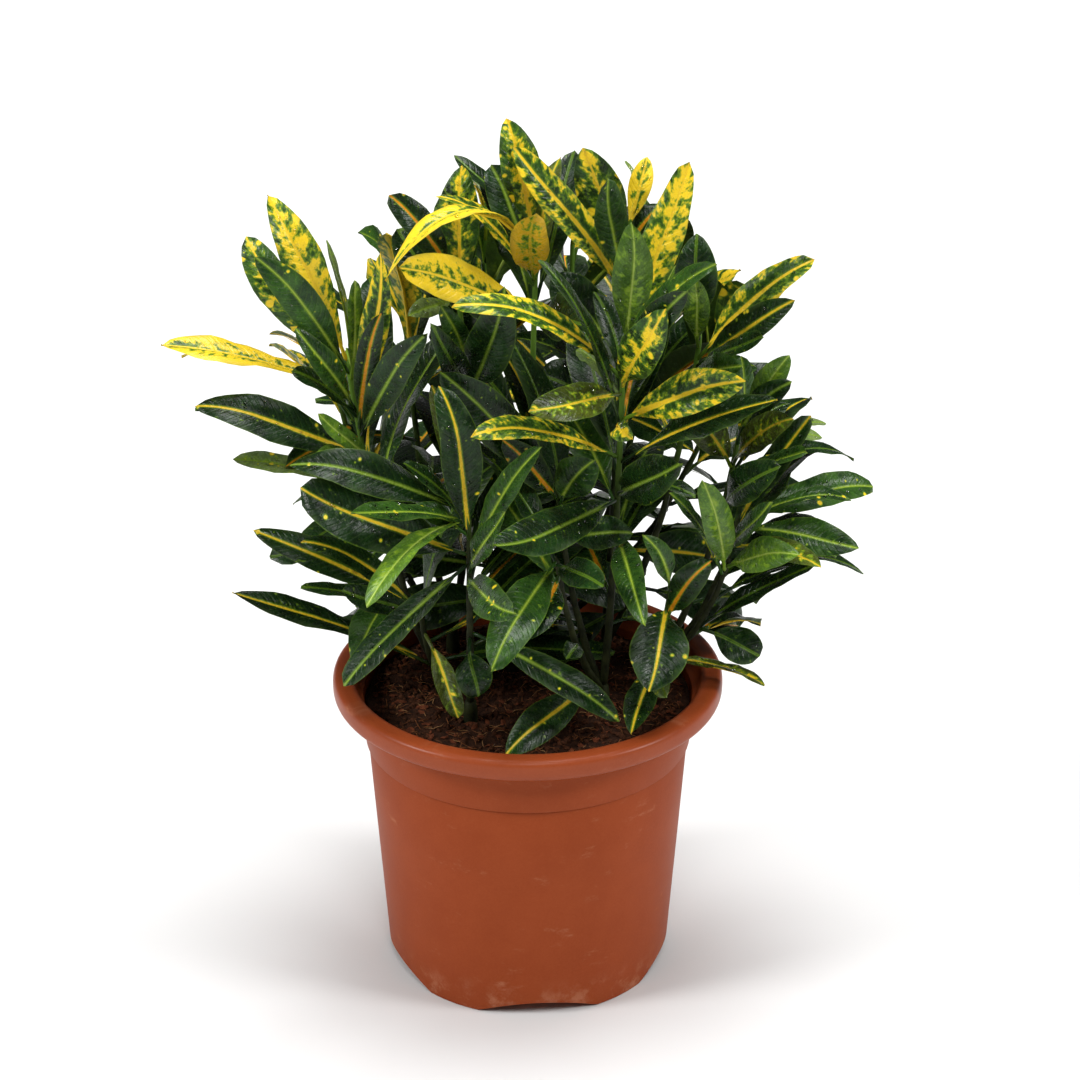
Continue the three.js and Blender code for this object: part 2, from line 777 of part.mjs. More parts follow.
// The possible forms of a leaf that is placed by eye.
function placedForms(shoot, row, number) {
  const [baseAcross, baseUp, across, up, depth, width, arch, roll] = row;
  const node = takeNode(shoot, (point) => {
    const [a, u] = asSeen(point);
    return Math.hypot(a - baseAcross, u - baseUp);
  });
  const base = node.point;
  return bends().map(([aside, rise, deeper]) => {
    const tip = seen(across + aside, up + rise, depth + deeper);
    const chord = tip.clone().sub(base).normalize();
    const toEye = EYE.clone().sub(base).normalize();
    const face = toEye.addScaledVector(chord, -toEye.dot(chord)).normalize();
    face.applyAxisAngle(chord, degrees(roll));
    return leafForm({ node, tip, width, arch, face, number, stations: BLADE_STATIONS });
  });
}

const insideCrown = ({ x, y, z }) =>
  (x / CROWN.across) ** 2 + (y / CROWN.deep) ** 2 + ((z - CROWN.centre) / CROWN.high) ** 2 < 1;

// The possible forms of leaf number i of a shoot's spiral: steep and short at the top, level and
// long below. A tip that would leave the crown is drawn in.
function spiralForms(shoot, i, draw, number) {
  const part = (i + 0.5) / shoot.spiral;
  const wanted = pointUp(shoot.points, mix(0.98, LOWEST_LEAF, part));
  const node = takeNode(shoot, (point) => point.distanceTo(wanted));
  const base = node.point;
  const inward = 12 + 156 * ((i * INNER_TURN + number * 0.37) % 1);
  const heading = (shoot.inner ? inward : SPIRAL_DEG * i + number) + 24 * (draw() - 0.5);
  const pitch = mix(TOP_PITCH_DEG, LOW_PITCH_DEG, part) + 22 * (draw() - 0.5);
  const reach = mix(70, 96, Math.sin(Math.PI * (0.2 + 0.6 * part))) + 18 * (draw() - 0.5);
  const width = mix(18, 26, draw());
  const roll = 50 * (draw() - 0.5);
  const forms = [];
  for (const rise of [0, 9, -9, 18, -18]) {
    for (const swing of [0, 10, -10, 20, -20]) {
      const turn = degrees(heading + swing);
      const climb = degrees(pitch + rise);
      const way = new THREE.Vector3(
        Math.cos(turn) * Math.cos(climb),
        Math.sin(turn) * Math.cos(climb),
        Math.sin(climb),
      );
      let length = reach;
      while (length > SHORTEST_LEAF && !insideCrown(base.clone().addScaledVector(way, length))) {
        length -= 4;
      }
      const tip = base.clone().addScaledVector(way, length);
      const face = new THREE.Vector3(0, 0, 1).addScaledVector(way, -way.z).normalize();
      face.applyAxisAngle(way, degrees(roll));
      const arch = length * 0.09;
      forms.push(leafForm({ node, tip, width, arch, face, number, stations: INNER_STATIONS }));
    }
  }
  return forms;
}

const pot = makePot();
let soil = makeSoil();
addObstacle(pot, null, null);
addObstacle(soil, null, null);
CUTTINGS.forEach(({ trunk }, cutting) => addObstacle(trunkSolid(trunk, 0), null, cutting));

const shoots = CUTTINGS.flatMap(({ trunk, shoots: grown }, cutting) =>
  grown.map((shoot) => ({
    ...shoot,
    cutting,
    inner: shoot.leaves.length > 0,
    points: shootLine(trunk, shoot.top),
    pieces: [],
    taken: [],
  })),
);
for (const shoot of shoots) {
  const solid = shootSolid(shoot.points);
  shoot.pieces.push(solid);
  addObstacle(solid, shoot, shoot.cutting);
}

// The leaves placed by eye come first, so that the others make room for them.
let number = 0;
for (const shoot of shoots) {
  for (const row of shoot.leaves) {
    number += 1;
    const leaf = firstClear(placedForms(shoot, row, number), shoot);
    if (leaf) shoot.pieces.push(leaf);
  }
}
shoots.forEach((shoot, order) => {
  const draw = drawsFrom(FIRST_SEED + order);
  for (let i = 0; i < shoot.spiral; i++) {
    number += 1;
    const leaf = firstClear(spiralForms(shoot, i, draw, number), shoot);
    if (leaf) shoot.pieces.push(leaf);
  }
});

const plant = new THREE.Group();
CUTTINGS.forEach(({ trunk }, cutting) => {
  soil = soil.subtract(trunkSolid(trunk, GAP));
  const grown = shoots.filter((shoot) => shoot.cutting === cutting);
  const pieces = [trunkSolid(trunk, 0), ...grown.flatMap((shoot) => shoot.pieces)];
  plant.add(named(`leafy_stem_${cutting + 1}`, wasm.Manifold.union(pieces), LEAF_GREEN));
});
plant.add(named("pot", pot, TERRACOTTA));
plant.add(named("soil", soil, SOIL_BROWN));

export default plant;
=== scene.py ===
"""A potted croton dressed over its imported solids: pot, potting soil and eight rooted cuttings.

The leaves stand where the solids have them. Each leaf's form is worked out from the same named
values, in millimetres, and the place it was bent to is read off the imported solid's own tips.
"""

import logging
import math
import random
from collections.abc import Callable, Iterator, Sequence
from dataclasses import dataclass, field
from enum import Enum
from typing import NamedTuple

import bmesh
import bpy
import numpy as np
from bmesh.types import BMesh, BMFace, BMVert
from bpy.types import Material, Node, NodeSocket, NodeTree, Object
from mathutils import Matrix, Vector, noise


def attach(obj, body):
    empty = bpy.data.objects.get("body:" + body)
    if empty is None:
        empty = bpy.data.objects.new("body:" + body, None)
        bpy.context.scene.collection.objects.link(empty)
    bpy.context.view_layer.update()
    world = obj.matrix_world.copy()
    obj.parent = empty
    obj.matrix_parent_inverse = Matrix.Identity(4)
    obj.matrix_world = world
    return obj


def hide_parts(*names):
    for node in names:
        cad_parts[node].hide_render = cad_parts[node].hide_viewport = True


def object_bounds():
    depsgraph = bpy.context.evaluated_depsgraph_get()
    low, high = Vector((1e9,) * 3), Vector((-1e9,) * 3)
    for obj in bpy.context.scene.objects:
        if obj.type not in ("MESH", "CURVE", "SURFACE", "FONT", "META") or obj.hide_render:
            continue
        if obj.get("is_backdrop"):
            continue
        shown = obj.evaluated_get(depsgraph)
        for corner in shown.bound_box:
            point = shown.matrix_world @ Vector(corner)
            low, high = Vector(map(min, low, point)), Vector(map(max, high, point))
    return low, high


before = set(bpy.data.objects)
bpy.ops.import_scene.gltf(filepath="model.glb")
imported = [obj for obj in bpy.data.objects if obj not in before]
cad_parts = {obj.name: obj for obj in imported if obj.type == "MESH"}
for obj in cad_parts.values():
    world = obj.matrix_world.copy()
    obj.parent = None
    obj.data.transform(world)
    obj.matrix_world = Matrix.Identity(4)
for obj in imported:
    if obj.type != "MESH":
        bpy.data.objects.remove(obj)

CAD_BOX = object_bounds()
MM = 0.001
LOG = logging.getLogger("croton")

Colour = tuple[float, float, float]
Point = np.ndarray
Verts = Sequence[BMVert]
Socket = NodeSocket | float | tuple[float, ...]


class Look(Enum):
    """The kinds of leaf colouring on this plant."""

    BOLD = "dark with a bold gold midrib"
    ORANGE = "dark with an orange midrib"
    VEINED = "dark with a thin light midrib"
    DARK = "dark all over"
    GREEN = "mid green with a light midrib"
    YOUNG = "light green young growth"
    OLIVE = "olive with a yellow midrib"
    PALE = "pale grey-green, speckled"
    SPECKLED = "dark, gold midrib, many gold specks"
    BLOTCHED = "half gold, half green blotches"
    EDGED = "green inside gold margins"
    GILT = "nearly all gold"
    FEATHERED = "gold with a green herringbone"


def srgb(red: int, green: int, blue: int) -> Colour:
    """The linear colour of three screen values from 0 to 255.

    Args:
        red: The red value.
        green: The green value.
        blue: The blue value.

    Returns:
        The three linear values, from 0 to 1.
    """
    def linear(value: int) -> float:
        """One channel, made linear."""
        share = value / 255
        return share / 12.92 if share <= 0.04045 else ((share + 0.055) / 1.055) ** 2.4

    return linear(red), linear(green), linear(blue)


class Leaf(NamedTuple):
    """A listed leaf, in millimetres on the picture plane.

    The base lies on the shoot. A roll of 0 degrees shows the upper face to the eye.
    """

    base_across: float
    base_up: float
    tip_across: float
    tip_up: float
    tip_depth: float
    width: float
    arch: float
    roll: float
    look: Look


class Shoot(NamedTuple):
    """A shoot: its top as the eye sees it with its true depth, and the leaves that it carries."""

    top: tuple[float, float, float]
    spiral: int
    leaves: tuple[Leaf, ...]


class Cutting(NamedTuple):
    """A rooted cutting: where its trunk stands on the soil, and its shoots."""

    trunk: tuple[float, float]
    shoots: tuple[Shoot, ...]


CUTTINGS = (
    Cutting((-46, -4), (
        Shoot((-96, 100, -10), 4, (
            Leaf(-96, 100, -138, 181, -14, 21, 6, 12, Look.BLOTCHED),
            Leaf(-95, 97, -150, 160, -8, 21, 6, -14, Look.SPECKLED),
            Leaf(-96, 97, -140, 151, -38, 18, 5, 10, Look.GREEN),
            Leaf(-95, 101, -92, 137, -26, 10, 3, 30, Look.YOUNG),
            Leaf(-96, 98, -109, 157, 18, 12, 6, 68, Look.PALE),
            Leaf(-96, 95, -193, 103, -10, 20, 4, 62, Look.GILT),
            Leaf(-100, 88, -181, 102, 12, 14, 6, 75, Look.GILT),
            Leaf(-95, 96, -134, 113, 22, 14, 4, 70, Look.EDGED),
            Leaf(-96, 84, -122, 109, -42, 14, 5, 18, Look.GREEN),
            Leaf(-93, 80, -124, 90, -32, 14, 4, 58, Look.DARK),
            Leaf(-92, 100, -72, 151, -20, 15, 5, -22, Look.EDGED),
            Leaf(-90, 97, -79, 121, -42, 12, 3, -14, Look.ORANGE),
            Leaf(-91, 74, -57, 110, -42, 18, 5, -12, Look.VEINED),
            Leaf(-92, 60, -115, 87, 8, 12, 4, 72, Look.DARK),
        )),
        Shoot((-80, 46, -15), 3, (
            Leaf(-82, 43, -174, 76, -22, 22, 6, 18, Look.BOLD),
            Leaf(-82, 42, -176, 70, 4, 16, 6, 62, Look.DARK),
            Leaf(-80, 46, -112, 65, -46, 10, 3, 30, Look.YOUNG),
            Leaf(-76, 20, -154, 42, -2, 16, 6, 58, Look.PALE),
            Leaf(-80, 44, -112, 46, -48, 11, 4, 55, Look.YOUNG),
            Leaf(-76, 22, -124, 21, -28, 11, 4, 66, Look.GREEN),
        )),
        Shoot((-57, -34, -30), 3, (
            Leaf(-60, -32, -146, 5, -22, 17, 5, 26, Look.BOLD),
            Leaf(-60, -33, -117, 3, -52, 15, 5, 40, Look.BOLD),
            Leaf(-60, -35, -120, -25, -60, 15, 5, 50, Look.DARK),
            Leaf(-60, -38, -99, -30, -74, 15, 4, 28, Look.DARK),
            Leaf(-48, -66, -156, -30, -14, 18, 5, 56, Look.BOLD),
            Leaf(-54, -48, -38, -94, -62, 13, 4, -20, Look.OLIVE),
        )),
    )),
    Cutting((-30, -36), (
        Shoot((-31, 19, -45), 7, (
            Leaf(-31, 14, -125, 44, -56, 22, 7, 16, Look.VEINED),
            Leaf(-30, -8, -121, 24, -66, 30, 6, 10, Look.BOLD),
            Leaf(-31, 13, -84, -35, -126, 16, 9, 56, Look.YOUNG),
            Leaf(-30, -12, -98, -76, -62, 17, 3, 24, Look.VEINED),
            Leaf(-31, 17, -94, 12, -108, 16, 6, 54, Look.GREEN),
            Leaf(-31, 19, -65, 39, -62, 12, 4, 66, Look.DARK),
            Leaf(-31, 17, -61, 18, -78, 12, 4, 38, Look.GREEN),
            Leaf(-31, 19, -40, 80, -50, 21, 5, 6, Look.BOLD),
            Leaf(-31, 19, -50, 82, -22, 16, 5, 22, Look.OLIVE),
            Leaf(-31, 16, 7, 52, -72, 14, 5, -26, Look.GREEN),
            Leaf(-30, 4, -9, 15, -98, 14, 5, -36, Look.GREEN),
            Leaf(-30, -8, -8, -43, -139, 18, 5, 8, Look.GREEN),
            Leaf(-31, -48, 50, -94, -74, 17, 5, -14, Look.VEINED),
            Leaf(-31, -50, -24, -82, -66, 19, 5, 12, Look.DARK),
        )),
    )),
    Cutting((-8, 22), (
        Shoot((5, 168, 15), 5, (
            Leaf(5, 156, -9, 222, 8, 21, 4, 8, Look.SPECKLED),
            Leaf(4, 142, -17, 198, 32, 19, 5, -10, Look.VEINED),
            Leaf(4, 160, -40, 200, 44, 16, 5, 66, Look.DARK),
            Leaf(5, 138, 2, 173, -24, 20, 4, -6, Look.FEATHERED),
            Leaf(-2, 153, -78, 139, -35, 14, 30, 62, Look.GILT),
            Leaf(4, 150, -45, 186, 6, 13, 6, 60, Look.EDGED),
            Leaf(6, 155, 14, 203, 34, 14, 4, -14, Look.OLIVE),
            Leaf(6, 148, 22, 206, 50, 16, 4, 10, Look.DARK),
            Leaf(5, 140, 30, 112, -26, 24, 4, -8, Look.DARK),
            Leaf(3, 120, -69, 146, -38, 23, 6, 24, Look.GILT),
            Leaf(-6, -30, -74, -40, 30, 26, 5, 20, Look.DARK),
            Leaf(-5, -16, 56, -30, 34, 26, 5, -20, Look.DARK),
        )),
        Shoot((-38, 150, 10), 5, (
            Leaf(-30, 75, -10, 128, -38, 24, 6, -8, Look.VEINED),
            Leaf(-38, 136, -71, 183, -2, 17, 5, 24, Look.ORANGE),
            Leaf(-40, 122, -37, 197, 6, 21, 5, 4, Look.SPECKLED),
            Leaf(-38, 110, -70, 162, 28, 22, 5, 12, Look.DARK),
            Leaf(-38, 125, -64, 119, -26, 11, 3, 20, Look.PALE),
            Leaf(-36, 92, -44, 122, -28, 12, 4, 14, Look.GREEN),
            Leaf(-34, 75, -49, 107, -42, 15, 4, 18, Look.DARK),
            Leaf(-16, -14, -70, -8, 34, 26, 5, 16, Look.VEINED),
        )),
    )),
    Cutting((40, -18), (
        Shoot((51, 105, -20), 9, (
            Leaf(51, 105, 58, 167, -34, 20, 4, -8, Look.YOUNG),
            Leaf(51, 103, 88, 198, -14, 21, 5, -10, Look.BLOTCHED),
            Leaf(50, 100, 100, 148, -56, 16, 9, -50, Look.GREEN),
            Leaf(50, 98, 82, 131, -52, 17, 5, -30, Look.VEINED),
            Leaf(49, 80, 72, 116, -58, 22, 5, -8, Look.SPECKLED),
            Leaf(50, 102, -37, 128, -52, 18, 10, 58, Look.EDGED),
            Leaf(50, 100, 3, 66, -78, 20, 6, 14, Look.OLIVE),
            Leaf(49, 96, 27, 100, 4, 15, 4, 40, Look.PALE),
            Leaf(49, 96, 36, 131, 0, 15, 5, 44, Look.DARK),
            Leaf(47, 75, -10, 128, -24, 21, 6, 6, Look.SPECKLED),
            Leaf(46, 72, 112, 87, -58, 22, 5, -16, Look.EDGED),
            Leaf(46, 74, 53, 54, -54, 11, 4, 20, Look.SPECKLED),
            Leaf(43, 44, -29, 61, -72, 18, 5, 58, Look.EDGED),
            Leaf(43, 42, 132, 74, -46, 22, 6, -48, Look.BOLD),
            Leaf(44, 21, -17, -9, -106, 23, 5, 8, Look.VEINED),
            Leaf(44, 22, 82, 39, -88, 24, 5, -6, Look.VEINED),
            Leaf(43, 30, 87, 24, -64, 13, 4, -56, Look.DARK),
            Leaf(44, 5, 60, -40, -112, 16, 5, 8, Look.GREEN),
            Leaf(50, 103, 11, 147, -30, 14, 5, 56, Look.DARK),
        )),
        Shoot((15, 32, -15), 8, (
            Leaf(16, 30, -44, 90, -40, 24, 5, 8, Look.VEINED),
            Leaf(15, 20, -12, 55, -34, 16, 5, 6, Look.ORANGE),
            Leaf(15, 0, 60, 5, -52, 18, 5, -20, Look.VEINED),
            Leaf(15, 18, 34, 43, -48, 22, 4, -10, Look.GREEN),
            Leaf(28, -44, -24, -34, -14, 24, 5, 12, Look.DARK),
        )),
        Shoot((15, -8, -50), 6, (
            Leaf(15, -8, -20, -64, -132, 23, 6, 4, Look.GREEN),
            Leaf(18, -18, 0, -52, -108, 17, 5, 0, Look.ORANGE),
            Leaf(15, -9, 42, -24, -106, 16, 5, -16, Look.DARK),
            Leaf(36, -74, -14, -111, -84, 20, 4, 6, Look.BOLD),
            Leaf(28, -55, 20, -62, -76, 11, 3, 0, Look.DARK),
        )),
    )),
    Cutting((66, 4), (
        Shoot((113, 62, 0), 3, (
            Leaf(113, 60, 136, 98, -12, 15, 4, -12, Look.YOUNG),
            Leaf(113, 55, 136, 84, -32, 14, 4, -18, Look.VEINED),
            Leaf(112, 50, 139, 73, 10, 14, 4, -48, Look.DARK),
            Leaf(112, 62, 113, 97, 2, 13, 4, 36, Look.GREEN),
            Leaf(105, 40, 141, 67, -48, 17, 5, -30, Look.OLIVE),
            Leaf(101, 28, 148, 46, -38, 15, 5, -52, Look.GREEN),
            Leaf(107, 48, 159, 62, 30, 12, 4, -58, Look.PALE),
            Leaf(106, 44, 156, 56, 14, 11, 4, -62, Look.PALE),
            Leaf(104, 36, 172, 47, 16, 15, 6, -64, Look.DARK),
            Leaf(92, 22, 132, 39, -62, 19, 5, -10, Look.DARK),
            Leaf(96, 40, 83, 72, -34, 19, 5, 6, Look.OLIVE),
        )),
        Shoot((112, 14, -15), 3, (
            Leaf(110, 0, 150, 65, -32, 15, 5, -28, Look.BOLD),
            Leaf(112, 12, 182, 31, 30, 20, 5, -18, Look.GREEN),
            Leaf(112, 14, 171, 24, -12, 16, 6, -58, Look.GREEN),
            Leaf(112, 9, 173, -6, -52, 19, 5, -26, Look.GREEN),
            Leaf(112, 8, 163, 8, 24, 13, 4, -58, Look.DARK),
            Leaf(110, -4, 157, -13, -62, 15, 5, -30, Look.OLIVE),
            Leaf(108, -6, 162, -11, -12, 13, 4, -68, Look.DARK),
            Leaf(110, 14, 130, 17, -66, 13, 4, -50, Look.GREEN),
        )),
        Shoot((107, -8, -20), 2, (
            Leaf(106, -12, 178, -15, -2, 13, 5, -66, Look.DARK),
            Leaf(105, -12, 140, -4, -54, 18, 4, -12, Look.YOUNG),
            Leaf(107, -8, 99, 29, -34, 16, 4, 8, Look.YOUNG),
            Leaf(106, -9, 75, 27, -44, 13, 4, 58, Look.GREEN),
            Leaf(86, -46, 152, -14, -32, 15, 5, -48, Look.DARK),
            Leaf(95, -30, 145, -13, -2, 14, 4, -56, Look.DARK),
            Leaf(84, -44, 122, -62, -30, 20, 4, -14, Look.DARK),
        )),
        Shoot((75, -26, -35), 5, (
            Leaf(75, -26, 64, 3, -58, 12, 4, 20, Look.GREEN),
            Leaf(76, -44, 94, -11, -52, 16, 4, -6, Look.ORANGE),
            Leaf(75, -28, 66, -80, -86, 30, 5, 0, Look.BOLD),
            Leaf(76, -50, 73, -84, -70, 14, 4, 32, Look.PALE),
            Leaf(75, -60, 53, -103, -90, 16, 4, 14, Look.BOLD),
            Leaf(78, -66, 125, -76, -26, 14, 5, -60, Look.OLIVE),
        )),
    )),
    Cutting((42, 34), (
        Shoot((92, 112, 10), 4, (
            Leaf(92, 104, 88, 161, 6, 22, 4, 4, Look.DARK),
            Leaf(92, 100, 90, 136, -16, 13, 3, -10, Look.YOUNG),
            Leaf(90, 98, 82, 141, 2, 12, 4, 58, Look.ORANGE),
            Leaf(90, 103, 150, 150, -4, 19, 6, -22, Look.EDGED),
            Leaf(88, 92, 141, 128, -20, 17, 5, -20, Look.BOLD),
            Leaf(88, 88, 124, 104, -28, 14, 4, -58, Look.DARK),
            Leaf(88, 90, 111, 91, -32, 17, 4, -22, Look.GREEN),
            Leaf(87, 85, 120, 94, 18, 13, 4, -30, Look.GREEN),
            Leaf(54, -24, 116, -42, 34, 26, 5, -16, Look.DARK),
            Leaf(50, -34, 6, -62, 26, 24, 5, 12, Look.DARK),
        )),
        Shoot((51, 166, 25), 4, (
            Leaf(48, 142, 30, 207, 22, 24, 5, 4, Look.SPECKLED),
            Leaf(49, 142, 39, 190, -2, 17, 5, 14, Look.GREEN),
            Leaf(51, 166, 63, 202, 36, 12, 3, -10, Look.GILT),
            Leaf(51, 165, 55, 200, 50, 12, 4, 60, Look.PALE),
            Leaf(50, 150, 72, 178, 36, 14, 4, -20, Look.ORANGE),
            Leaf(47, 132, -9, 204, -2, 18, 8, 16, Look.EDGED),
            Leaf(46, -6, 102, -10, 40, 25, 5, -14, Look.BOLD),
            Leaf(48, 66, 6, 88, 48, 25, 5, 10, Look.DARK),
            Leaf(49, 96, 14, 140, 44, 24, 5, 8, Look.VEINED),
            Leaf(47, 20, 2, 34, 44, 25, 5, 12, Look.DARK),
        )),
    )),
    Cutting((-42, 46), (
        Shoot((-66, 132, 62), 19, ()),
        Shoot((-22, 166, 84), 19, ()),
        Shoot((-104, 92, 36), 15, ()),
    )),
    Cutting((16, 62), (
        Shoot((24, 166, 92), 17, ()),
        Shoot((72, 138, 72), 19, ()),
        Shoot((106, 92, 46), 15, ()),
    )),
)
PLACED = sum(len(shoot.leaves) for cutting in CUTTINGS for shoot in cutting.shoots)

# The moves that bent the solids' leaves clear of each other, in the order in which they were tried
PICTURE_MOVES = ((0, 0), (0, 4), (0, -4), (4, 0), (-4, 0), (5, 7), (-5, 7))
DEPTH_MOVES = (0, -5, 5, -10, 10, -15, 15, -20, 20, -26, 26)
PITCH_MOVES = (0, 9, -9, 18, -18)
HEADING_MOVES = (0, 10, -10, 20, -20)

# The colourings of unseen leaves, taken in turn, near a shoot's top and further down
TOP_LOOKS = (
    Look.SPECKLED, Look.GREEN, Look.BLOTCHED, Look.VEINED, Look.EDGED, Look.SPECKLED, Look.YOUNG,
)
MIDDLE_LOOKS = (
    Look.BOLD, Look.VEINED, Look.GREEN, Look.DARK, Look.SPECKLED, Look.BOLD, Look.ORANGE,
)
# Dark colourings for low and inner leaves, which also paint the shade inside the bush
LOW_LOOKS = (
    Look.DARK, Look.BOLD, Look.VEINED, Look.DARK, Look.GREEN, Look.ORANGE, Look.DARK,
)


# Vectors, in millimetres


def vec(*values: float) -> Point:
    """A point or direction."""
    return np.array(values, float)


def unit(vector: Point) -> Point:
    """The same direction with a length of one; works on rows of vectors too."""
    return vector / np.linalg.norm(vector, axis=-1, keepdims=True)


def mix(low: float, high: float, part: float) -> float:
    """The value part of the way from low to high."""
    return low + (high - low) * part


def turned(vector: Point, axis: Point, angle: np.ndarray | float) -> Point:
    """A vector turned about an axis by the right-hand rule.

    Args:
        vector: One vector, or a row for each station.
        axis: The unit axis, in the same number of rows.
        angle: The angle in radians, or one for each row.

    Returns:
        The turned vector or rows.
    """
    cos, sin = np.cos(angle), np.sin(angle)
    if np.ndim(angle):
        cos, sin = cos[:, None], sin[:, None]
    along = np.sum(vector * axis, axis=-1, keepdims=True)
    return vector * cos + np.cross(axis, vector) * sin + axis * along * (1 - cos)


def draws_from(seed: int) -> Callable[[], float]:
    """The solids' own draws, from 0 to 1, the same on every run.

    Args:
        seed: What the draws start from.

    Returns:
        A function that gives the next draw.
    """
    state = seed

    def draw() -> float:
        """The next draw."""
        nonlocal state
        state = (state * 48271) % 2147483647
        return state / 2147483647

    return draw


EYE = vec(6.6, -1182.3, 784.7)
LOOK_AT = vec(6.6, 0, 246.6)
SIGHT = unit(LOOK_AT - EYE)
PICTURE_UP = unit(np.cross(vec(1, 0, 0), SIGHT))


def seen(across: float, up: float, depth: float) -> Point:
    """The point that the eye sees at a place on the picture plane, at its true depth."""
    on_plane = vec(across, LOOK_AT[1], LOOK_AT[2]) + PICTURE_UP * up
    return EYE + (on_plane - EYE) * (depth - EYE[1]) / (on_plane[1] - EYE[1])


def as_seen(points: Point) -> tuple[np.ndarray, np.ndarray]:
    """Where on the picture plane the eye sees some points.

    Args:
        points: A row for each point.

    Returns:
        How far across and how far up each one is seen.
    """
    rays = points - EYE
    reach = np.linalg.norm(LOOK_AT - EYE) / (rays @ SIGHT)
    on_plane = EYE + rays * reach[:, None]
    return on_plane[:, 0], (on_plane - LOOK_AT) @ PICTURE_UP


@dataclass
class LeafForm:
    """The form of one leaf: a bent, twisted, folded blade with waved edges on a short stalk.

    Sines of the leaf's number give each leaf its own sway, twist, curl, hook and waves.
    """

    base: Point
    tip: Point
    width: float
    arch: float
    face: Point
    number: int
    look: Look
    stalk: float = 11.0
    side_bend: float = 2.5
    twist_deg: float = 14.0
    gutter: float = 0.2
    crown: float = 0.1
    wave: float = 0.07
    waves: float = 1.4
    ripple: float = 0.034
    ripples: float = 4.3
    widest_at: float = 1.27
    base_taper: float = 0.68
    tip_roundness: float = 0.54
    tip_variety: float = 0.14
    least_half_width: float = 0.8
    curl_from: float = 0.68
    curl: float = 0.5
    droop: float = 0.35
    hook: float = 0.42
    length: float = field(init=False)
    bend: Point = field(init=False)

    def __post_init__(self) -> None:
        """Works out the length and the bend of the middle line."""
        chord = self.tip - self.base
        self.length = float(np.linalg.norm(chord))
        aside = np.cross(chord / self.length, self.face)
        sway = self.side_bend * math.sin(self.number * 2.4)
        self.bend = (self.base + self.tip) / 2 + self.face * 2 * self.arch + aside * sway

    def frame_at(self, place: np.ndarray, blade: np.ndarray) -> tuple[Point, Point, Point]:
        """The middle line and the directions across and out of the face.

        Args:
            place: Places on the whole line, 0 at the shoot and 1 at the tip.
            blade: The same places along the blade alone, for its twist.

        Returns:
            Rows of points, of rightward directions and of face normals.
        """
        t = place[:, None]
        middle = self.base * (1 - t) ** 2 + self.bend * 2 * t * (1 - t) + self.tip * t**2
        ahead = unit((self.bend - self.base) * (1 - t) + (self.tip - self.bend) * t)
        face = np.broadcast_to(self.face, ahead.shape)
        normal = unit(face - ahead * np.sum(face * ahead, axis=1, keepdims=True))
        twist = math.radians(self.twist_deg) * math.sin(self.number * 1.7)
        normal = turned(normal, ahead, twist * np.maximum(0, blade))
        right = np.cross(ahead, normal)
        late = self.length * np.maximum(0, t - self.curl_from) ** 2
        curl = self.curl * (math.sin(self.number * 5.3) - self.droop)
        middle = middle + (normal * curl + right * self.hook * math.sin(self.number * 7.9)) * late
        return middle, right, normal

    def half_width(self, blade: np.ndarray) -> np.ndarray:
        """Half the blade's width at places along it.

        Args:
            blade: From 0 at the stalk to 1 at the tip.

        Returns:
            The half widths, in millimetres.
        """
        bulge = np.sin(np.pi * np.clip(blade, 0, 1) ** self.widest_at)
        roundness = self.tip_roundness + self.tip_variety * math.sin(self.number * 3.1)
        half = self.width / 2 * np.maximum(bulge, 0) ** mix(self.base_taper, roundness, blade)
        return np.maximum(half, self.least_half_width * (1 - blade) ** 3)

    def surface(self, across: np.ndarray, blade: np.ndarray) -> tuple[Point, Point, np.ndarray]:
        """Points of the blade's middle layer.

        Args:
            across: From -1 at the left edge to 1 at the right, one for each point.
            blade: From 0 at the stalk to 1 at the tip, one for each point.

        Returns:
            The points, the face's normals there, and how far from the midrib they lie in mm.
        """
        stalk = self.stalk / self.length
        middle, right, normal = self.frame_at(stalk + (1 - stalk) * blade, blade)
        half = self.half_width(blade)
        out = np.abs(across)
        side = np.sign(across)
        swing = np.sin(2 * np.pi * self.waves * blade + side * 1.1 + self.number)
        fine = np.sin(2 * np.pi * self.ripples * blade + side * 2.3 + self.number * 2.9)
        rise = self.gutter * half * out + self.crown * half * np.sin(np.pi * out)
        rise = rise + self.wave * self.width * swing * out**1.3
        rise = rise + self.ripple * self.width * fine * out**2 * np.sin(np.pi * blade)
        points = middle + right * (across * half)[:, None] + normal * rise[:, None]
        return points, normal, across * half


@dataclass
class Growth:
    """A shoot while its leaves are set: the straight lengths of its line and the nodes taken."""

    cutting: int
    shoot: Shoot
    points: list[Point]
    radius: float = 2.3
    tip_radius: float = 1.25
    spacing: float = 2.4
    steps: int = 120
    lowest: float = 0.1
    highest: float = 0.97
    taken: list[Point] = field(default_factory=list)

    def up(self, part: float) -> Point:
        """The point part of the way up.

        Args:
            part: From 0 at the fork to 1 at the shoot's top.

        Returns:
            The point on the shoot's line.
        """
        lengths = len(self.points) - 1
        length = min(math.floor(part * lengths), lengths - 1)
        return mix(self.points[length], self.points[length + 1], part * lengths - length)

    def take_node(self, distances: Callable[[Point], np.ndarray]) -> Point:
        """Takes the free node where a leaf's base lies best.

        Args:
            distances: Gives how far off each of some points is.

        Returns:
            The node's point.
        """
        parts = [mix(self.highest, self.lowest, i / self.steps) for i in range(self.steps + 1)]
        nodes = np.array([self.up(part) for part in parts])
        off = distances(nodes)
        for other in self.taken:
            off = np.where(np.linalg.norm(nodes - other, axis=1) > self.spacing, off, np.inf)
        best = nodes[int(np.argmin(off))]
        self.taken.append(best)
        return best


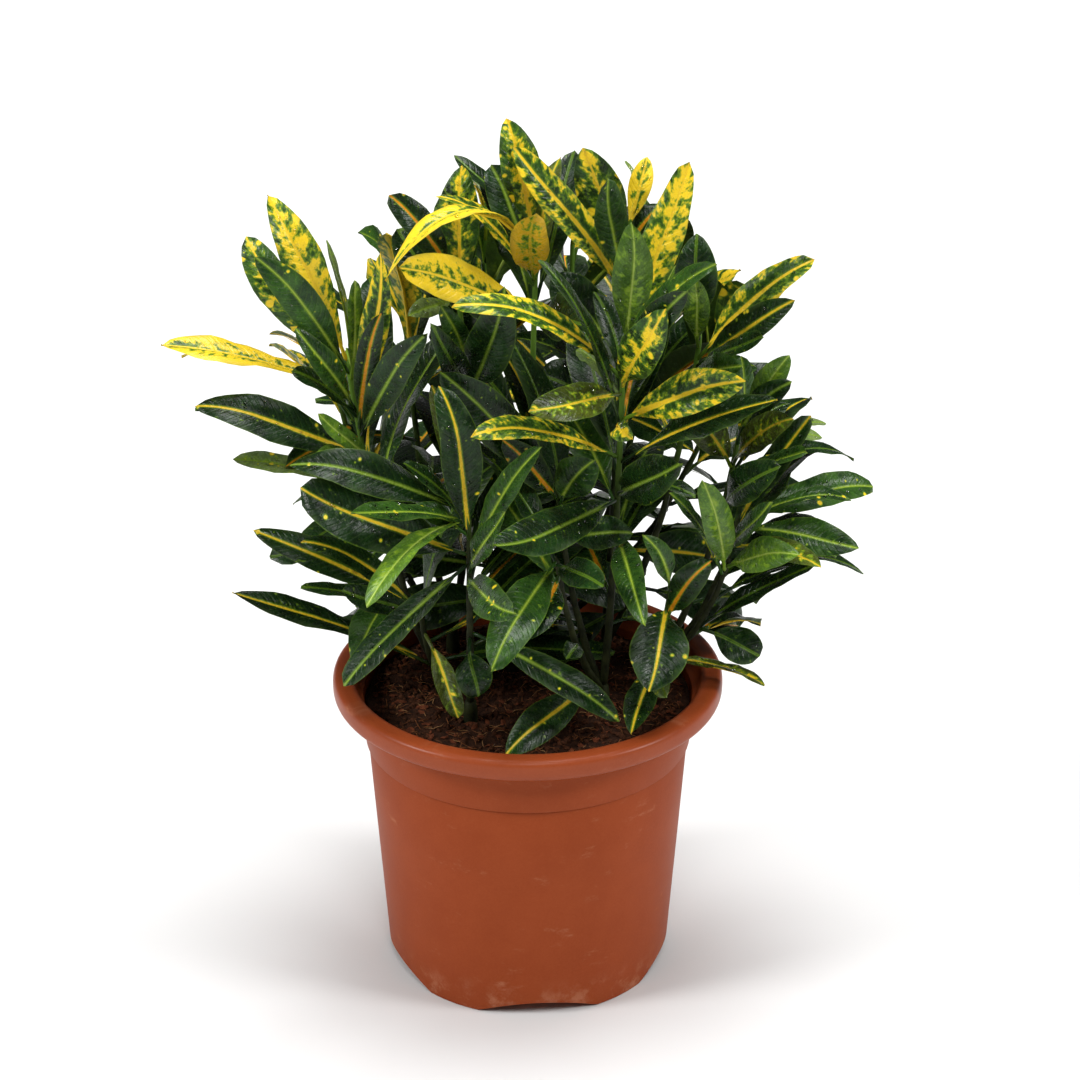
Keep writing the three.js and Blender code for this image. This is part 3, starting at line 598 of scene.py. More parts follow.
@dataclass
class Bush:
    """The rooted cuttings' leaves and shoots, found again from the solids' values.

    Each leaf of the solids was bent clear of its neighbours by the first of a few moves that
    found room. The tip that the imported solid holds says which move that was.
    """

    cuttings: tuple[Cutting, ...] = CUTTINGS
    fork_height: float = 169.0
    shoot_lengths: int = 4
    spread_low: float = 0.72
    bend_height: float = 0.35
    first_seed: int = 101
    spiral_deg: float = 137.5
    inner_turn: float = 0.618
    inner_headings: tuple[float, float] = (12, 156)
    inner_step: float = 0.37
    heading_play: float = 24.0
    highest_leaf: float = 0.98
    lowest_leaf: float = 0.22
    top_pitch: float = 68.0
    low_pitch: float = -26.0
    pitch_play: float = 22.0
    reaches: tuple[float, float] = (70, 96)
    reach_play: float = 18.0
    widths: tuple[float, float] = (18, 26)
    roll_play: float = 50.0
    arch_share: float = 0.09
    middle_from: float = 0.22
    low_from: float = 0.55
    crown_centre: float = 292.0
    crown_radii: tuple[float, float, float] = (154.0, 142.0, 150.0)
    shortest: float = 44.0
    shortened_by: float = 4.0
    fullness: float = 1.12
    tolerance: float = 0.1
    growths: list[Growth] = field(default_factory=list)
    leaves: list[list[LeafForm]] = field(default_factory=list)

    def solid_points(self, cutting: int) -> Point:
        """The corners of a cutting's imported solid, in millimetres.

        Args:
            cutting: The cutting's place in the order, from 0.

        Returns:
            A row for each corner.
        """
        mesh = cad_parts[f"leafy_stem_{cutting + 1}"].data
        flat = np.empty(len(mesh.vertices) * 3, np.float32)
        mesh.vertices.foreach_get("co", flat)
        return flat.reshape(-1, 3).astype(float) / MM

    def shoot_line(self, trunk: tuple[float, float], shoot: Shoot) -> list[Point]:
        """The straight lengths of a shoot, which leaves the fork outwards and then turns up.

        Args:
            trunk: Where the cutting's trunk stands.
            shoot: The shoot.

        Returns:
            The points that bound its lengths, from the fork to the top.
        """
        fork = vec(*trunk, self.fork_height - 3)
        top = seen(*shoot.top)
        bend = mix(fork, top, self.spread_low)
        bend[2] = mix(fork[2], top[2], self.bend_height)
        parts = [i / self.shoot_lengths for i in range(self.shoot_lengths + 1)]
        return [fork * (1 - t) ** 2 + bend * 2 * t * (1 - t) + top * t**2 for t in parts]

    def placed(self, growth: Growth, leaf: Leaf, number: int) -> list[LeafForm]:
        """The forms that a listed leaf may have taken.

        Args:
            growth: The shoot that carries it.
            leaf: Its place in the picture and its form.
            number: Its number.

        Returns:
            The forms, in the order in which they were tried.
        """
        def off(nodes: Point) -> np.ndarray:
            """How far from the wanted place the nodes are seen."""
            across, up = as_seen(nodes)
            return np.hypot(across - leaf.base_across, up - leaf.base_up)

        base = growth.take_node(off)
        forms = []
        for aside, rise in PICTURE_MOVES:
            for deeper in DEPTH_MOVES:
                tip = seen(leaf.tip_across + aside, leaf.tip_up + rise, leaf.tip_depth + deeper)
                chord = unit(tip - base)
                to_eye = unit(EYE - base)
                face = unit(to_eye - chord * (to_eye @ chord))
                face = turned(face, chord, math.radians(leaf.roll))
                forms.append(LeafForm(base, tip, leaf.width, leaf.arch, face, number, leaf.look))
        return forms

    def in_crown(self, point: Point) -> bool:
        """Whether a point lies inside the crown."""
        shares = (point - vec(0, 0, self.crown_centre)) / self.crown_radii
        return float(np.sum(shares**2)) < 1

    def spiral(
        self, growth: Growth, i: int, draw: Callable[[], float], number: int
    ) -> list[LeafForm]:
        """The forms that one leaf of a shoot's spiral may have taken.

        Args:
            growth: The shoot.
            i: The leaf's place in the spiral, counted from the top.
            draw: The shoot's own draws, from 0 to 1.
            number: The leaf's number.

        Returns:
            The forms, in the order in which they were tried.
        """
        part = (i + 0.5) / growth.shoot.spiral
        wanted = growth.up(mix(self.highest_leaf, self.lowest_leaf, part))
        base = growth.take_node(lambda nodes: np.linalg.norm(nodes - wanted, axis=1))
        first, spread = self.inner_headings
        inward = first + spread * ((i * self.inner_turn + number * self.inner_step) % 1)
        heading = inward if growth.shoot.leaves else self.spiral_deg * i + number
        heading += self.heading_play * (draw() - 0.5)
        pitch = mix(self.top_pitch, self.low_pitch, part) + self.pitch_play * (draw() - 0.5)
        fullest = math.sin(math.pi * (0.2 + 0.6 * part))
        reach = mix(*self.reaches, fullest) + self.reach_play * (draw() - 0.5)
        width = mix(*self.widths, draw()) * self.fullness
        roll = self.roll_play * (draw() - 0.5)
        look = self.look_at_height(part, number, bool(growth.shoot.leaves))
        forms = []
        for rise in PITCH_MOVES:
            for swing in HEADING_MOVES:
                turn, climb = math.radians(heading + swing), math.radians(pitch + rise)
                level = math.cos(climb)
                way = vec(math.cos(turn) * level, math.sin(turn) * level, math.sin(climb))
                length = reach
                while length > self.shortest and not self.in_crown(base + way * length):
                    length -= self.shortened_by
                face = turned(unit(vec(0, 0, 1) - way * way[2]), way, math.radians(roll))
                tip = base + way * length
                arch = length * self.arch_share
                forms.append(LeafForm(base, tip, width, arch, face, number, look))
        return forms

    def look_at_height(self, part: float, number: int, inner: bool) -> Look:
        """The colouring of an unseen leaf: gold near a shoot's top, dark further down and inside;
        the dark colourings there also paint the shade inside the bush.

        Args:
            part: How far down the shoot it stands, from 0 at the top to 1.
            number: Its number.
            inner: Whether it grows into the bush.

        Returns:
            The colouring.
        """
        looks = TOP_LOOKS
        # Inner and low leaves take the dark colourings, partly as painted shade inside the bush.
        if inner or part > self.low_from:
            looks = LOW_LOOKS
        elif part > self.middle_from:
            looks = MIDDLE_LOOKS
        return looks[(number * 5) % len(looks)]

    def chosen(self, forms: list[LeafForm], corners: Point) -> LeafForm | None:
        """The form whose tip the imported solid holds, or None where the leaf found no room.

        Args:
            forms: The forms that the leaf may have taken.
            corners: The corners of its cutting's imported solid.

        Returns:
            The form, or None.
        """
        tips = np.array([form.tip for form in forms])
        gaps = np.linalg.norm(tips[:, None] - corners[None], axis=2).min(axis=1)
        best = int(np.argmin(gaps))
        return forms[best] if gaps[best] < self.tolerance else None

    def grow(self) -> None:
        """Sets every leaf, in the order in which the solids were made."""
        for order, cutting in enumerate(self.cuttings):
            self.leaves.append([])
            for shoot in cutting.shoots:
                line = self.shoot_line(cutting.trunk, shoot)
                self.growths.append(Growth(order, shoot, line))
        corners = [self.solid_points(order) for order in range(len(self.cuttings))]
        number = 0
        for growth in self.growths:
            for leaf in growth.shoot.leaves:
                number += 1
                self.keep(growth, self.placed(growth, leaf, number), corners)
        for order, growth in enumerate(self.growths):
            draw = draws_from(self.first_seed + order)
            for i in range(growth.shoot.spiral):
                number += 1
                self.keep(growth, self.spiral(growth, i, draw, number), corners)

    def keep(self, growth: Growth, forms: list[LeafForm], corners: list[Point]) -> None:
        """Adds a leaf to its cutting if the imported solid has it.

        Args:
            growth: The shoot that carries it.
            forms: The forms that it may have taken.
            corners: The corners of each cutting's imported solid.
        """
        form = self.chosen(forms, corners[growth.cutting])
        if form is not None:
            self.leaves[growth.cutting].append(form)


# Materials


class Nodes:
    """Adds nodes to one tree and joins them."""

    def __init__(self, tree: NodeTree) -> None:
        """Starts with the tree emptied."""
        self.tree = tree
        tree.nodes.clear()

    def add(
        self, kind: str, inputs: dict[str, Socket] | None = None, **settings: object
    ) -> Node:
        """Adds a node.

        Args:
            kind: The node's type.
            inputs: Its sockets by name, each with a value or the socket that feeds it.
            settings: Its other settings.

        Returns:
            The node.
        """
        node = self.tree.nodes.new(kind)
        for name, value in settings.items():
            setattr(node, name, value)
        for name, value in (inputs or {}).items():
            self.feed(node.inputs[name], value)
        return node

    def feed(self, socket: NodeSocket, value: Socket) -> None:
        """Links a socket to another, or sets its value.

        Args:
            socket: The socket to be fed.
            value: Its value, or the socket that feeds it.
        """
        if isinstance(value, NodeSocket):
            self.tree.links.new(value, socket)
        elif socket.type == "RGBA" and len(value) == 3:
            socket.default_value = (*value, 1)
        else:
            socket.default_value = value

    def math(self, operation: str, *values: Socket) -> NodeSocket:
        """The result of a calculation.

        Args:
            operation: The Math node's operation.
            values: What it reckons with, in order.

        Returns:
            The result.
        """
        node = self.tree.nodes.new("ShaderNodeMath")
        node.operation = operation
        for socket, value in zip(node.inputs, values):
            self.feed(socket, value)
        return node.outputs[0]

    def plus(self, first: Socket, second: Socket) -> NodeSocket:
        """The sum of two values."""
        return self.math("ADD", first, second)

    def minus(self, first: Socket, second: Socket) -> NodeSocket:
        """The first value less the second."""
        return self.math("SUBTRACT", first, second)

    def times(self, first: Socket, second: Socket) -> NodeSocket:
        """The product of two values."""
        return self.math("MULTIPLY", first, second)

    def scaled(self, value: Socket, scale: Socket, offset: Socket) -> NodeSocket:
        """A value times a scale, plus an offset."""
        return self.math("MULTIPLY_ADD", value, scale, offset)

    def larger(self, first: Socket, second: Socket) -> NodeSocket:
        """The larger of two values."""
        return self.math("MAXIMUM", first, second)

    def step(
        self, value: Socket, low: Socket, high: Socket, first: float = 0, last: float = 1
    ) -> NodeSocket:
        """A smooth step of a value.

        Args:
            value: The value.
            low: Where the step starts. It may lie above high, and the step then falls.
            high: Where it ends.
            first: The result at low.
            last: The result at high.

        Returns:
            The result, which stays between first and last.
        """
        ends = {"Value": value, "From Min": low, "From Max": high, "To Min": first, "To Max": last}
        node = self.add("ShaderNodeMapRange", ends, interpolation_type="SMOOTHSTEP")
        return node.outputs["Result"]

    def blend(self, factor: Socket, first: Socket, second: Socket, kind: str = "MIX") -> NodeSocket:
        """A colour between two others.

        Args:
            factor: How much of the second shows, from 0 to 1.
            first: The colour below.
            second: The colour laid over it.
            kind: How it is laid over.

        Returns:
            The colour.
        """
        node = self.tree.nodes.new("ShaderNodeMix")
        node.data_type = "RGBA"
        node.blend_type = kind
        for index, value in ((0, factor), (6, first), (7, second)):
            self.feed(node.inputs[index], value)
        return node.outputs[2]

    def noise(
        self, vector: Socket, scale: Socket, detail: float = 2, rough: float = 0.5
    ) -> NodeSocket:
        """A noise value from 0 to 1."""
        values = {"Vector": vector, "Scale": scale, "Detail": detail, "Roughness": rough}
        return self.add("ShaderNodeTexNoise", values).outputs["Fac"]

    def split(self, vector: Socket) -> list[NodeSocket]:
        """A vector's three parts."""
        return list(self.add("ShaderNodeSeparateXYZ", {"Vector": vector}).outputs)

    def join(self, x: Socket, y: Socket, z: Socket) -> NodeSocket:
        """A vector from three parts."""
        return self.add("ShaderNodeCombineXYZ", {"X": x, "Y": y, "Z": z}).outputs[0]


def node_group(
    name: str, takes: dict[str, str], gives: dict[str, str]
) -> tuple[Nodes, Node, Node]:
    """Starts a shader node group.

    Args:
        name: The group's name.
        takes: Its inputs by name, each with its kind of socket.
        gives: Its outputs by name, each with its kind of socket.

    Returns:
        The tree's nodes, its input node and its output node.
    """
    group = bpy.data.node_groups.new(name, "ShaderNodeTree")
    for direction, sockets in (("INPUT", takes), ("OUTPUT", gives)):
        for socket, kind in sockets.items():
            group.interface.new_socket(socket, in_out=direction, socket_type="NodeSocket" + kind)
    nodes = Nodes(group)
    return nodes, nodes.add("NodeGroupInput"), nodes.add("NodeGroupOutput")


class MottleGroup:
    """Uneven colour with fine grain, for plastic, soil, bark and stems."""

    NAME = "uneven_colour"
    BAND = (0.34, 0.66)

    @classmethod
    def build(cls) -> None:
        """Builds the group."""
        takes = {"Vector": "Vector", "Dark": "Color", "Light": "Color"}
        takes |= {"Patch": "Float", "Grain": "Float", "Grain Share": "Float"}
        nodes, given, result = node_group(cls.NAME, takes, {"Color": "Color", "Height": "Float"})
        vector = given.outputs["Vector"]
        patch = nodes.noise(vector, given.outputs["Patch"], 4, 0.6)
        grain = nodes.noise(vector, given.outputs["Grain"], 3, 0.65)
        share = nodes.blend(given.outputs["Grain Share"], patch, grain)
        part = nodes.step(share, *cls.BAND)
        colour = nodes.blend(part, given.outputs["Dark"], given.outputs["Light"])
        nodes.feed(result.inputs["Color"], colour)
        nodes.feed(result.inputs["Height"], grain)


class ScuffGroup:
    """Faint pale scuffs and streaks, thicker towards the foot."""

    NAME = "scuffs"
    STREAK_PITCH = 26.0
    STREAK_SCALE = 3.2
    STREAK_BAND = (0.57, 0.78)
    DUST_SCALE = 70.0
    DUST_BAND = (0.47, 0.66)

    @classmethod
    def build(cls) -> None:
        """Builds the group."""
        takes = {"Vector": "Vector", "Foot": "Float"}
        nodes, given, result = node_group(cls.NAME, takes, {"Mask": "Float"})
        x, y, z = nodes.split(given.outputs["Vector"])
        around = nodes.join(nodes.math("ARCTAN2", y, x), 0.0, nodes.times(z, cls.STREAK_PITCH))
        streaks = nodes.step(nodes.noise(around, cls.STREAK_SCALE, 8, 0.72), *cls.STREAK_BAND)
        dust = nodes.noise(given.outputs["Vector"], cls.DUST_SCALE, 6, 0.7)
        low = nodes.step(z, given.outputs["Foot"], 0.0)
        mask = nodes.larger(streaks, nodes.times(nodes.step(dust, *cls.DUST_BAND), low))
        nodes.feed(result.inputs["Mask"], mask)


class LeafGroup:
    """A croton leaf's colouring: midrib, side veins, blotches, specks, halo and margin.

    Place runs in millimetres, aside from the midrib and ahead along the blade, and its third
    part tells the leaves apart. Noise scales are therefore in cycles per millimetre.
    """

    NAME = "croton_leaf"
    UNDERSIDE = srgb(70, 94, 36)
    UNDERSIDE_SHARE = 0.32
    RING = srgb(112, 138, 96)
    RING_SHARE = 0.34
    VEIN_SLOPE = 0.62
    VEIN_SWEEP = 5.0
    VEIN_PITCH = 1.3
    GOLD_LEVEL = 0.76
    SPECK_SCALE = 0.15
    DROP_SCALE = 0.34
    TAPER = -0.62

    def __init__(self) -> None:
        """Starts the group and reads where each point lies on its leaf."""
        takes = {"Leaf": "Vector", "Place": "Vector", "Ground": "Color", "Light": "Color"}
        takes |= {"Gold": "Color", "Halo": "Color", "Midrib": "Color"}
        shares = ("Midrib Width", "Blotch", "Centre", "Speck", "Vein", "Margin")
        takes |= {name: "Float" for name in shares}
        gives = {"Color": "Color", "Roughness": "Float", "Height": "Float"}
        self.nodes, given, self.result = node_group(self.NAME, takes, gives)
        self.need = given.outputs
        self.place = self.need["Place"]
        across, self.along, self.upper = self.nodes.split(self.need["Leaf"])
        self.right, self.ahead, self.number = self.nodes.split(self.place)
        self.out = self.nodes.math("ABSOLUTE", across)
        self.aside = self.nodes.math("ABSOLUTE", self.right)
        self.wobble = self.nodes.noise(self.place, 0.22, 3, 0.6)

    def slant(self) -> NodeSocket:
        """How far ahead the side vein that reaches a point leaves the midrib, in millimetres.

        Returns:
            The distance.
        """
        nodes = self.nodes
        sweep = nodes.times(nodes.math("POWER", self.out, 1.6), self.VEIN_SWEEP)
        return nodes.minus(self.ahead, nodes.plus(nodes.times(self.aside, self.VEIN_SLOPE), sweep))

    def ground(self, swell: NodeSocket) -> NodeSocket:
        """The green ground, uneven and unlike from leaf to leaf, with its side veins.

        Args:
            swell: The wave across the side veins, 1 on each vein.

        Returns:
            The colour.
        """
        nodes, need = self.nodes, self.need
        cloud = nodes.step(nodes.noise(self.place, 0.09, 4, 0.6), 0.32, 0.68)
        green = nodes.blend(cloud, need["Ground"], need["Light"])
        fleck = nodes.step(nodes.noise(self.place, 0.8, 4, 0.7), 0.5, 0.7)
        white = nodes.add("ShaderNodeTexWhiteNoise", {"W": self.number}, noise_dimensions="1D")
        shade = nodes.scaled(fleck, 0.7, nodes.scaled(white.outputs["Value"], 0.5, 0.7))
        green = nodes.blend(1.0, green, nodes.join(shade, shade, shade), "MULTIPLY")
        vein = nodes.times(nodes.step(swell, 0.86, 1.0), nodes.step(self.out, 1.0, 0.72))
        return nodes.blend(nodes.times(vein, need["Vein"]), green, need["Halo"])

    def blotches(self, slant: NodeSocket) -> NodeSocket:
        """A level above zero in the gold, feathered along the veins and unlike on the halves.

        Args:
            slant: Where the point's side vein leaves the midrib.

        Returns:
            The level.
        """
        nodes, need = self.nodes, self.need
        half = nodes.math("SIGN", self.right)
        apart = nodes.scaled(half, 40.0, nodes.times(self.number, 7.3))
        lengthwise = nodes.plus(nodes.times(slant, 0.09), nodes.times(self.ahead, 0.12))
        feather = nodes.join(lengthwise, nodes.times(self.aside, 0.26), apart)
        patch = nodes.noise(feather, 1.0, 4, 0.58)
        lean = nodes.times(need["Centre"], nodes.scaled(self.out, -0.5, 0.25))
        level = nodes.plus(nodes.times(need["Blotch"], 0.5), lean)
        return nodes.plus(nodes.minus(patch, self.GOLD_LEVEL), level)

    def specks(self) -> NodeSocket:
        """A level above zero inside the small gold specks.

        Returns:
            The level.
        """
        nodes = self.nodes
        values = {"Vector": self.place, "Scale": self.SPECK_SCALE, "Randomness": 1.0}
        dots = nodes.add("ShaderNodeTexVoronoi", values)
        chance = nodes.split(dots.outputs["Color"])[0]
        size = nodes.times(self.need["Speck"], nodes.math("POWER", chance, 2.5))
        return nodes.minus(size, dots.outputs["Distance"])

    def midrib(self) -> NodeSocket:
        """A level above zero on the midrib, which narrows towards the tip.

        Returns:
            The level.
        """
        nodes = self.nodes
        reach = nodes.scaled(self.along, self.TAPER, 1.0)
        uneven = nodes.times(reach, nodes.scaled(self.wobble, 0.9, 0.55))
        wide = nodes.times(self.need["Midrib Width"], uneven)
        return nodes.times(nodes.minus(nodes.times(wide, 0.5), self.aside), 0.12)

    def water_marks(self) -> NodeSocket:
        """The pale rings that drops leave where they dry, as a mask.

        Returns:
            The mask.
        """
        nodes = self.nodes
        values = {"Vector": self.place, "Scale": self.DROP_SCALE, "Randomness": 1.0}
        drops = nodes.add("ShaderNodeTexVoronoi", values)
        chance = nodes.split(drops.outputs["Color"])[1]
        size = nodes.scaled(chance, 0.5, -0.18)
        ring = nodes.math("ABSOLUTE", nodes.minus(drops.outputs["Distance"], size))
        ring = nodes.times(nodes.step(ring, 0.07, 0.0), nodes.step(size, 0.05, 0.09))
        wet = nodes.step(nodes.noise(self.place, 0.05, 2), 0.46, 0.58)
        return nodes.times(ring, wet)

    def build(self) -> None:
        """Lays the markings over each other, and gives the sheen and the relief."""
        nodes, need, outputs = self.nodes, self.need, self.result.inputs
        slant = self.slant()
        phase = nodes.plus(nodes.times(slant, self.VEIN_PITCH), nodes.times(self.wobble, 1.5))
        swell = nodes.math("SINE", phase)
        gold, speck = self.blotches(slant), self.specks()
        rib, ring = self.midrib(), self.water_marks()

        glow = nodes.times(nodes.step(rib, -0.12, 0.0), 0.6)
        colour = nodes.blend(glow, self.ground(swell), need["Halo"])
        halo = nodes.larger(nodes.step(gold, -0.14, 0.02), nodes.step(speck, -0.1, 0.0))
        colour = nodes.blend(nodes.times(halo, 0.8), colour, need["Halo"])
        full = nodes.larger(nodes.step(gold, -0.03, 0.1), nodes.step(speck, -0.04, 0.07))
        colour = nodes.blend(full, colour, need["Gold"])
        colour = nodes.blend(nodes.step(rib, -0.03, 0.03), colour, need["Midrib"])
        edge = nodes.times(nodes.step(self.out, 0.93, 1.0), need["Margin"])
        colour = nodes.blend(edge, colour, need["Halo"])
        colour = nodes.blend(nodes.times(ring, self.RING_SHARE), colour, self.RING)
        pale = nodes.blend(self.UNDERSIDE_SHARE, colour, self.UNDERSIDE)
        nodes.feed(outputs["Color"], nodes.blend(self.upper, pale, colour))

        film = nodes.noise(self.place, 0.5, 3, 0.6)
        sheen = nodes.scaled(film, 0.36, 0.1)
        nodes.feed(outputs["Roughness"], nodes.scaled(self.upper, -0.2, nodes.plus(sheen, 0.2)))
        groove = nodes.times(nodes.step(rib, -0.06, 0.02), 0.5)
        quilt = nodes.scaled(nodes.step(swell, 0.1, 1.0), -0.3, 1.0)
        relief = nodes.plus(quilt, nodes.scaled(film, 0.8, nodes.times(ring, 0.5)))
        nodes.feed(outputs["Height"], nodes.minus(relief, groove))


@dataclass(frozen=True)
class LeafFinish:
    """The colouring of one kind of leaf. Widths are in millimetres, shares from 0 to 1."""

    ground: Colour
    light: Colour
    gold: Colour = srgb(244, 208, 44)
    halo: Colour = srgb(118, 152, 36)
    midrib: Colour = srgb(238, 200, 46)
    midrib_width: float = 2.2
    blotch: float = 0.0
    centre: float = 0.0
    speck: float = 0.0
    vein: float = 0.05
    margin: float = 0.3
    relief: float = 0.5
    relief_depth: float = 0.0006
    specular: float = 0.24

    def material(self, name: str) -> Material:
        """The finish as a material.

        Args:
            name: The material's name.

        Returns:
            The material.
        """
        material, nodes, shader = new_material(name)
        leaf = nodes.add("ShaderNodeAttribute", attribute_name="leaf").outputs["Vector"]
        place = nodes.add("ShaderNodeAttribute", attribute_name="place").outputs["Vector"]
        inputs = {"Leaf": leaf, "Place": place, "Ground": self.ground, "Light": self.light}
        inputs |= {"Gold": self.gold, "Halo": self.halo, "Midrib": self.midrib}
        inputs |= {"Midrib Width": self.midrib_width, "Blotch": self.blotch}
        inputs |= {"Centre": self.centre, "Speck": self.speck}
        inputs |= {"Vein": self.vein, "Margin": self.margin}
        colouring = place_group(nodes, LeafGroup.NAME, inputs)
        height = colouring.outputs["Height"]
        bump = {"Height": height, "Strength": self.relief, "Distance": self.relief_depth}
        normal = nodes.add("ShaderNodeBump", bump).outputs["Normal"]
        nodes.feed(shader.inputs["Base Color"], colouring.outputs["Color"])
        nodes.feed(shader.inputs["Roughness"], colouring.outputs["Roughness"])
        nodes.feed(shader.inputs["Normal"], normal)
        shader.inputs["Specular IOR Level"].default_value = self.specular
        return material


DARK_GREEN = srgb(14, 30, 11)
DEEP_GREEN = srgb(24, 50, 17)
MID_GREEN = srgb(50, 84, 27)
ORANGE = srgb(214, 142, 26)
LIGHT_RIB = srgb(124, 148, 52)
LEAF_FINISHES = {
    Look.BOLD: LeafFinish(DARK_GREEN, DEEP_GREEN, midrib=srgb(222, 186, 42), speck=0.2),
    Look.ORANGE: LeafFinish(DARK_GREEN, DEEP_GREEN, midrib=ORANGE, gold=ORANGE, speck=0.24),
    Look.VEINED: LeafFinish(DARK_GREEN, DEEP_GREEN, midrib=LIGHT_RIB, midrib_width=1.2, speck=0.16),
    Look.DARK: LeafFinish(DARK_GREEN, DEEP_GREEN, midrib=MID_GREEN, midrib_width=0.7),
    Look.GREEN: LeafFinish(
        DEEP_GREEN, MID_GREEN,
        midrib=srgb(146, 168, 56), midrib_width=1.2, speck=0.24, vein=0.1,
    ),
    Look.YOUNG: LeafFinish(
        srgb(58, 90, 27), srgb(86, 118, 38),
        gold=srgb(132, 158, 50), midrib=srgb(160, 182, 80), midrib_width=1.2,
        blotch=0.26, centre=0.2,
    ),
    Look.OLIVE: LeafFinish(
        srgb(46, 56, 20), srgb(78, 88, 30),
        midrib=srgb(210, 180, 48), midrib_width=1.8, blotch=0.25, centre=0.3,
    ),
    Look.PALE: LeafFinish(
        srgb(84, 104, 56), srgb(116, 134, 76),
        midrib=LIGHT_RIB, midrib_width=1.2, blotch=0.2, speck=0.3,
    ),
    Look.SPECKLED: LeafFinish(DARK_GREEN, MID_GREEN, blotch=0.4, centre=0.35, speck=0.56),
    Look.BLOTCHED: LeafFinish(DEEP_GREEN, MID_GREEN, blotch=0.6, centre=0.25, speck=0.3),
    Look.EDGED: LeafFinish(
        DEEP_GREEN, MID_GREEN, midrib_width=3.0, blotch=0.38, centre=-0.45, speck=0.3,
    ),
    Look.GILT: LeafFinish(
        DEEP_GREEN, MID_GREEN, midrib=srgb(240, 204, 50), blotch=0.72, centre=-0.75,
    ),
    Look.FEATHERED: LeafFinish(
        srgb(56, 84, 28), MID_GREEN,
        gold=srgb(206, 166, 42), midrib=srgb(196, 168, 44), blotch=0.72, centre=-0.55,
    ),
}


def new_material(name: str) -> tuple[Material, Nodes, Node]:
    """A material with a Principled shader joined to its output.

    Args:
        name: The material's name.

    Returns:
        The material, its nodes and its shader.
    """
    material = bpy.data.materials.new(name)
    material.use_nodes = True
    nodes = Nodes(material.node_tree)
    shader = nodes.add("ShaderNodeBsdfPrincipled")
    nodes.add("ShaderNodeOutputMaterial", {"Surface": shader.outputs["BSDF"]})
    return material, nodes, shader


def place_group(nodes: Nodes, name: str, inputs: dict[str, Socket]) -> Node:
    """Places a node group in a material.

    Args:
        nodes: The material's nodes.
        name: The group's name.
        inputs: Its sockets by name, each with a value or the socket that feeds it.

    Returns:
        The group's node.
    """
    node = nodes.add("ShaderNodeGroup", node_tree=bpy.data.node_groups[name])
    for socket, value in inputs.items():
        nodes.feed(node.inputs[socket], value)
    return node


@dataclass(frozen=True)
class MottledFinish:
    """A finish of uneven colour with fine relief. Patch and grain are in cycles per metre."""

    name: str
    dark: Colour
    light: Colour
    patch: float
    grain: float
    grain_share: float = 0.4
    roughness: float = 0.9
    relief: float = 0.4
    depth: float = 0.0006
    specular: float = 0.12

    def material(self) -> Material:
        """The finish as a material.

        Returns:
            The material.
        """
        material, nodes, shader = new_material(self.name)
        place = nodes.add("ShaderNodeTexCoord").outputs["Object"]
        values = {"Vector": place, "Dark": self.dark, "Light": self.light, "Patch": self.patch}
        values |= {"Grain": self.grain, "Grain Share": self.grain_share}
        mottle = place_group(nodes, MottleGroup.NAME, values)
        bump = {"Height": mottle.outputs["Height"], "Strength": self.relief, "Distance": self.depth}
        nodes.feed(shader.inputs["Base Color"], self.colour(nodes, mottle.outputs["Color"], place))
        nodes.feed(shader.inputs["Normal"], nodes.add("ShaderNodeBump", bump).outputs["Normal"])
        shader.inputs["Roughness"].default_value = self.roughness
        shader.inputs["Specular IOR Level"].default_value = self.specular
        return material

    def colour(self, nodes: Nodes, mottled: NodeSocket, place: NodeSocket) -> NodeSocket:
        """The colour that is seen, which is the uneven colour as it is."""
        return mottled


@dataclass(frozen=True)
class StemFinish(MottledFinish):
    """Dark bark low down, deepened as painted shade inside the bush, that turns fresh green towards
    the shoots' tips.
    """

    fresh: Colour = srgb(92, 128, 42)
    bark_and_shade_top: float = 0.25
    fresh_from: float = 0.35
    freshness: float = 0.85

    def colour(self, nodes: Nodes, mottled: NodeSocket, place: NodeSocket) -> NodeSocket:
        """The uneven colour, greener the higher it lies; the dark low part is bark and also painted
        shade.

        Args:
            nodes: The material's nodes.
            mottled: The uneven colour.
            place: Where the point lies, in metres.

        Returns:
            The colour.
        """
        height = nodes.split(place)[2]
        # Below this height the dark bark colour also paints the shade inside the bush.
        part = nodes.step(height, self.bark_and_shade_top, self.fresh_from, 0, self.freshness)
        return nodes.blend(part, mottled, self.fresh)


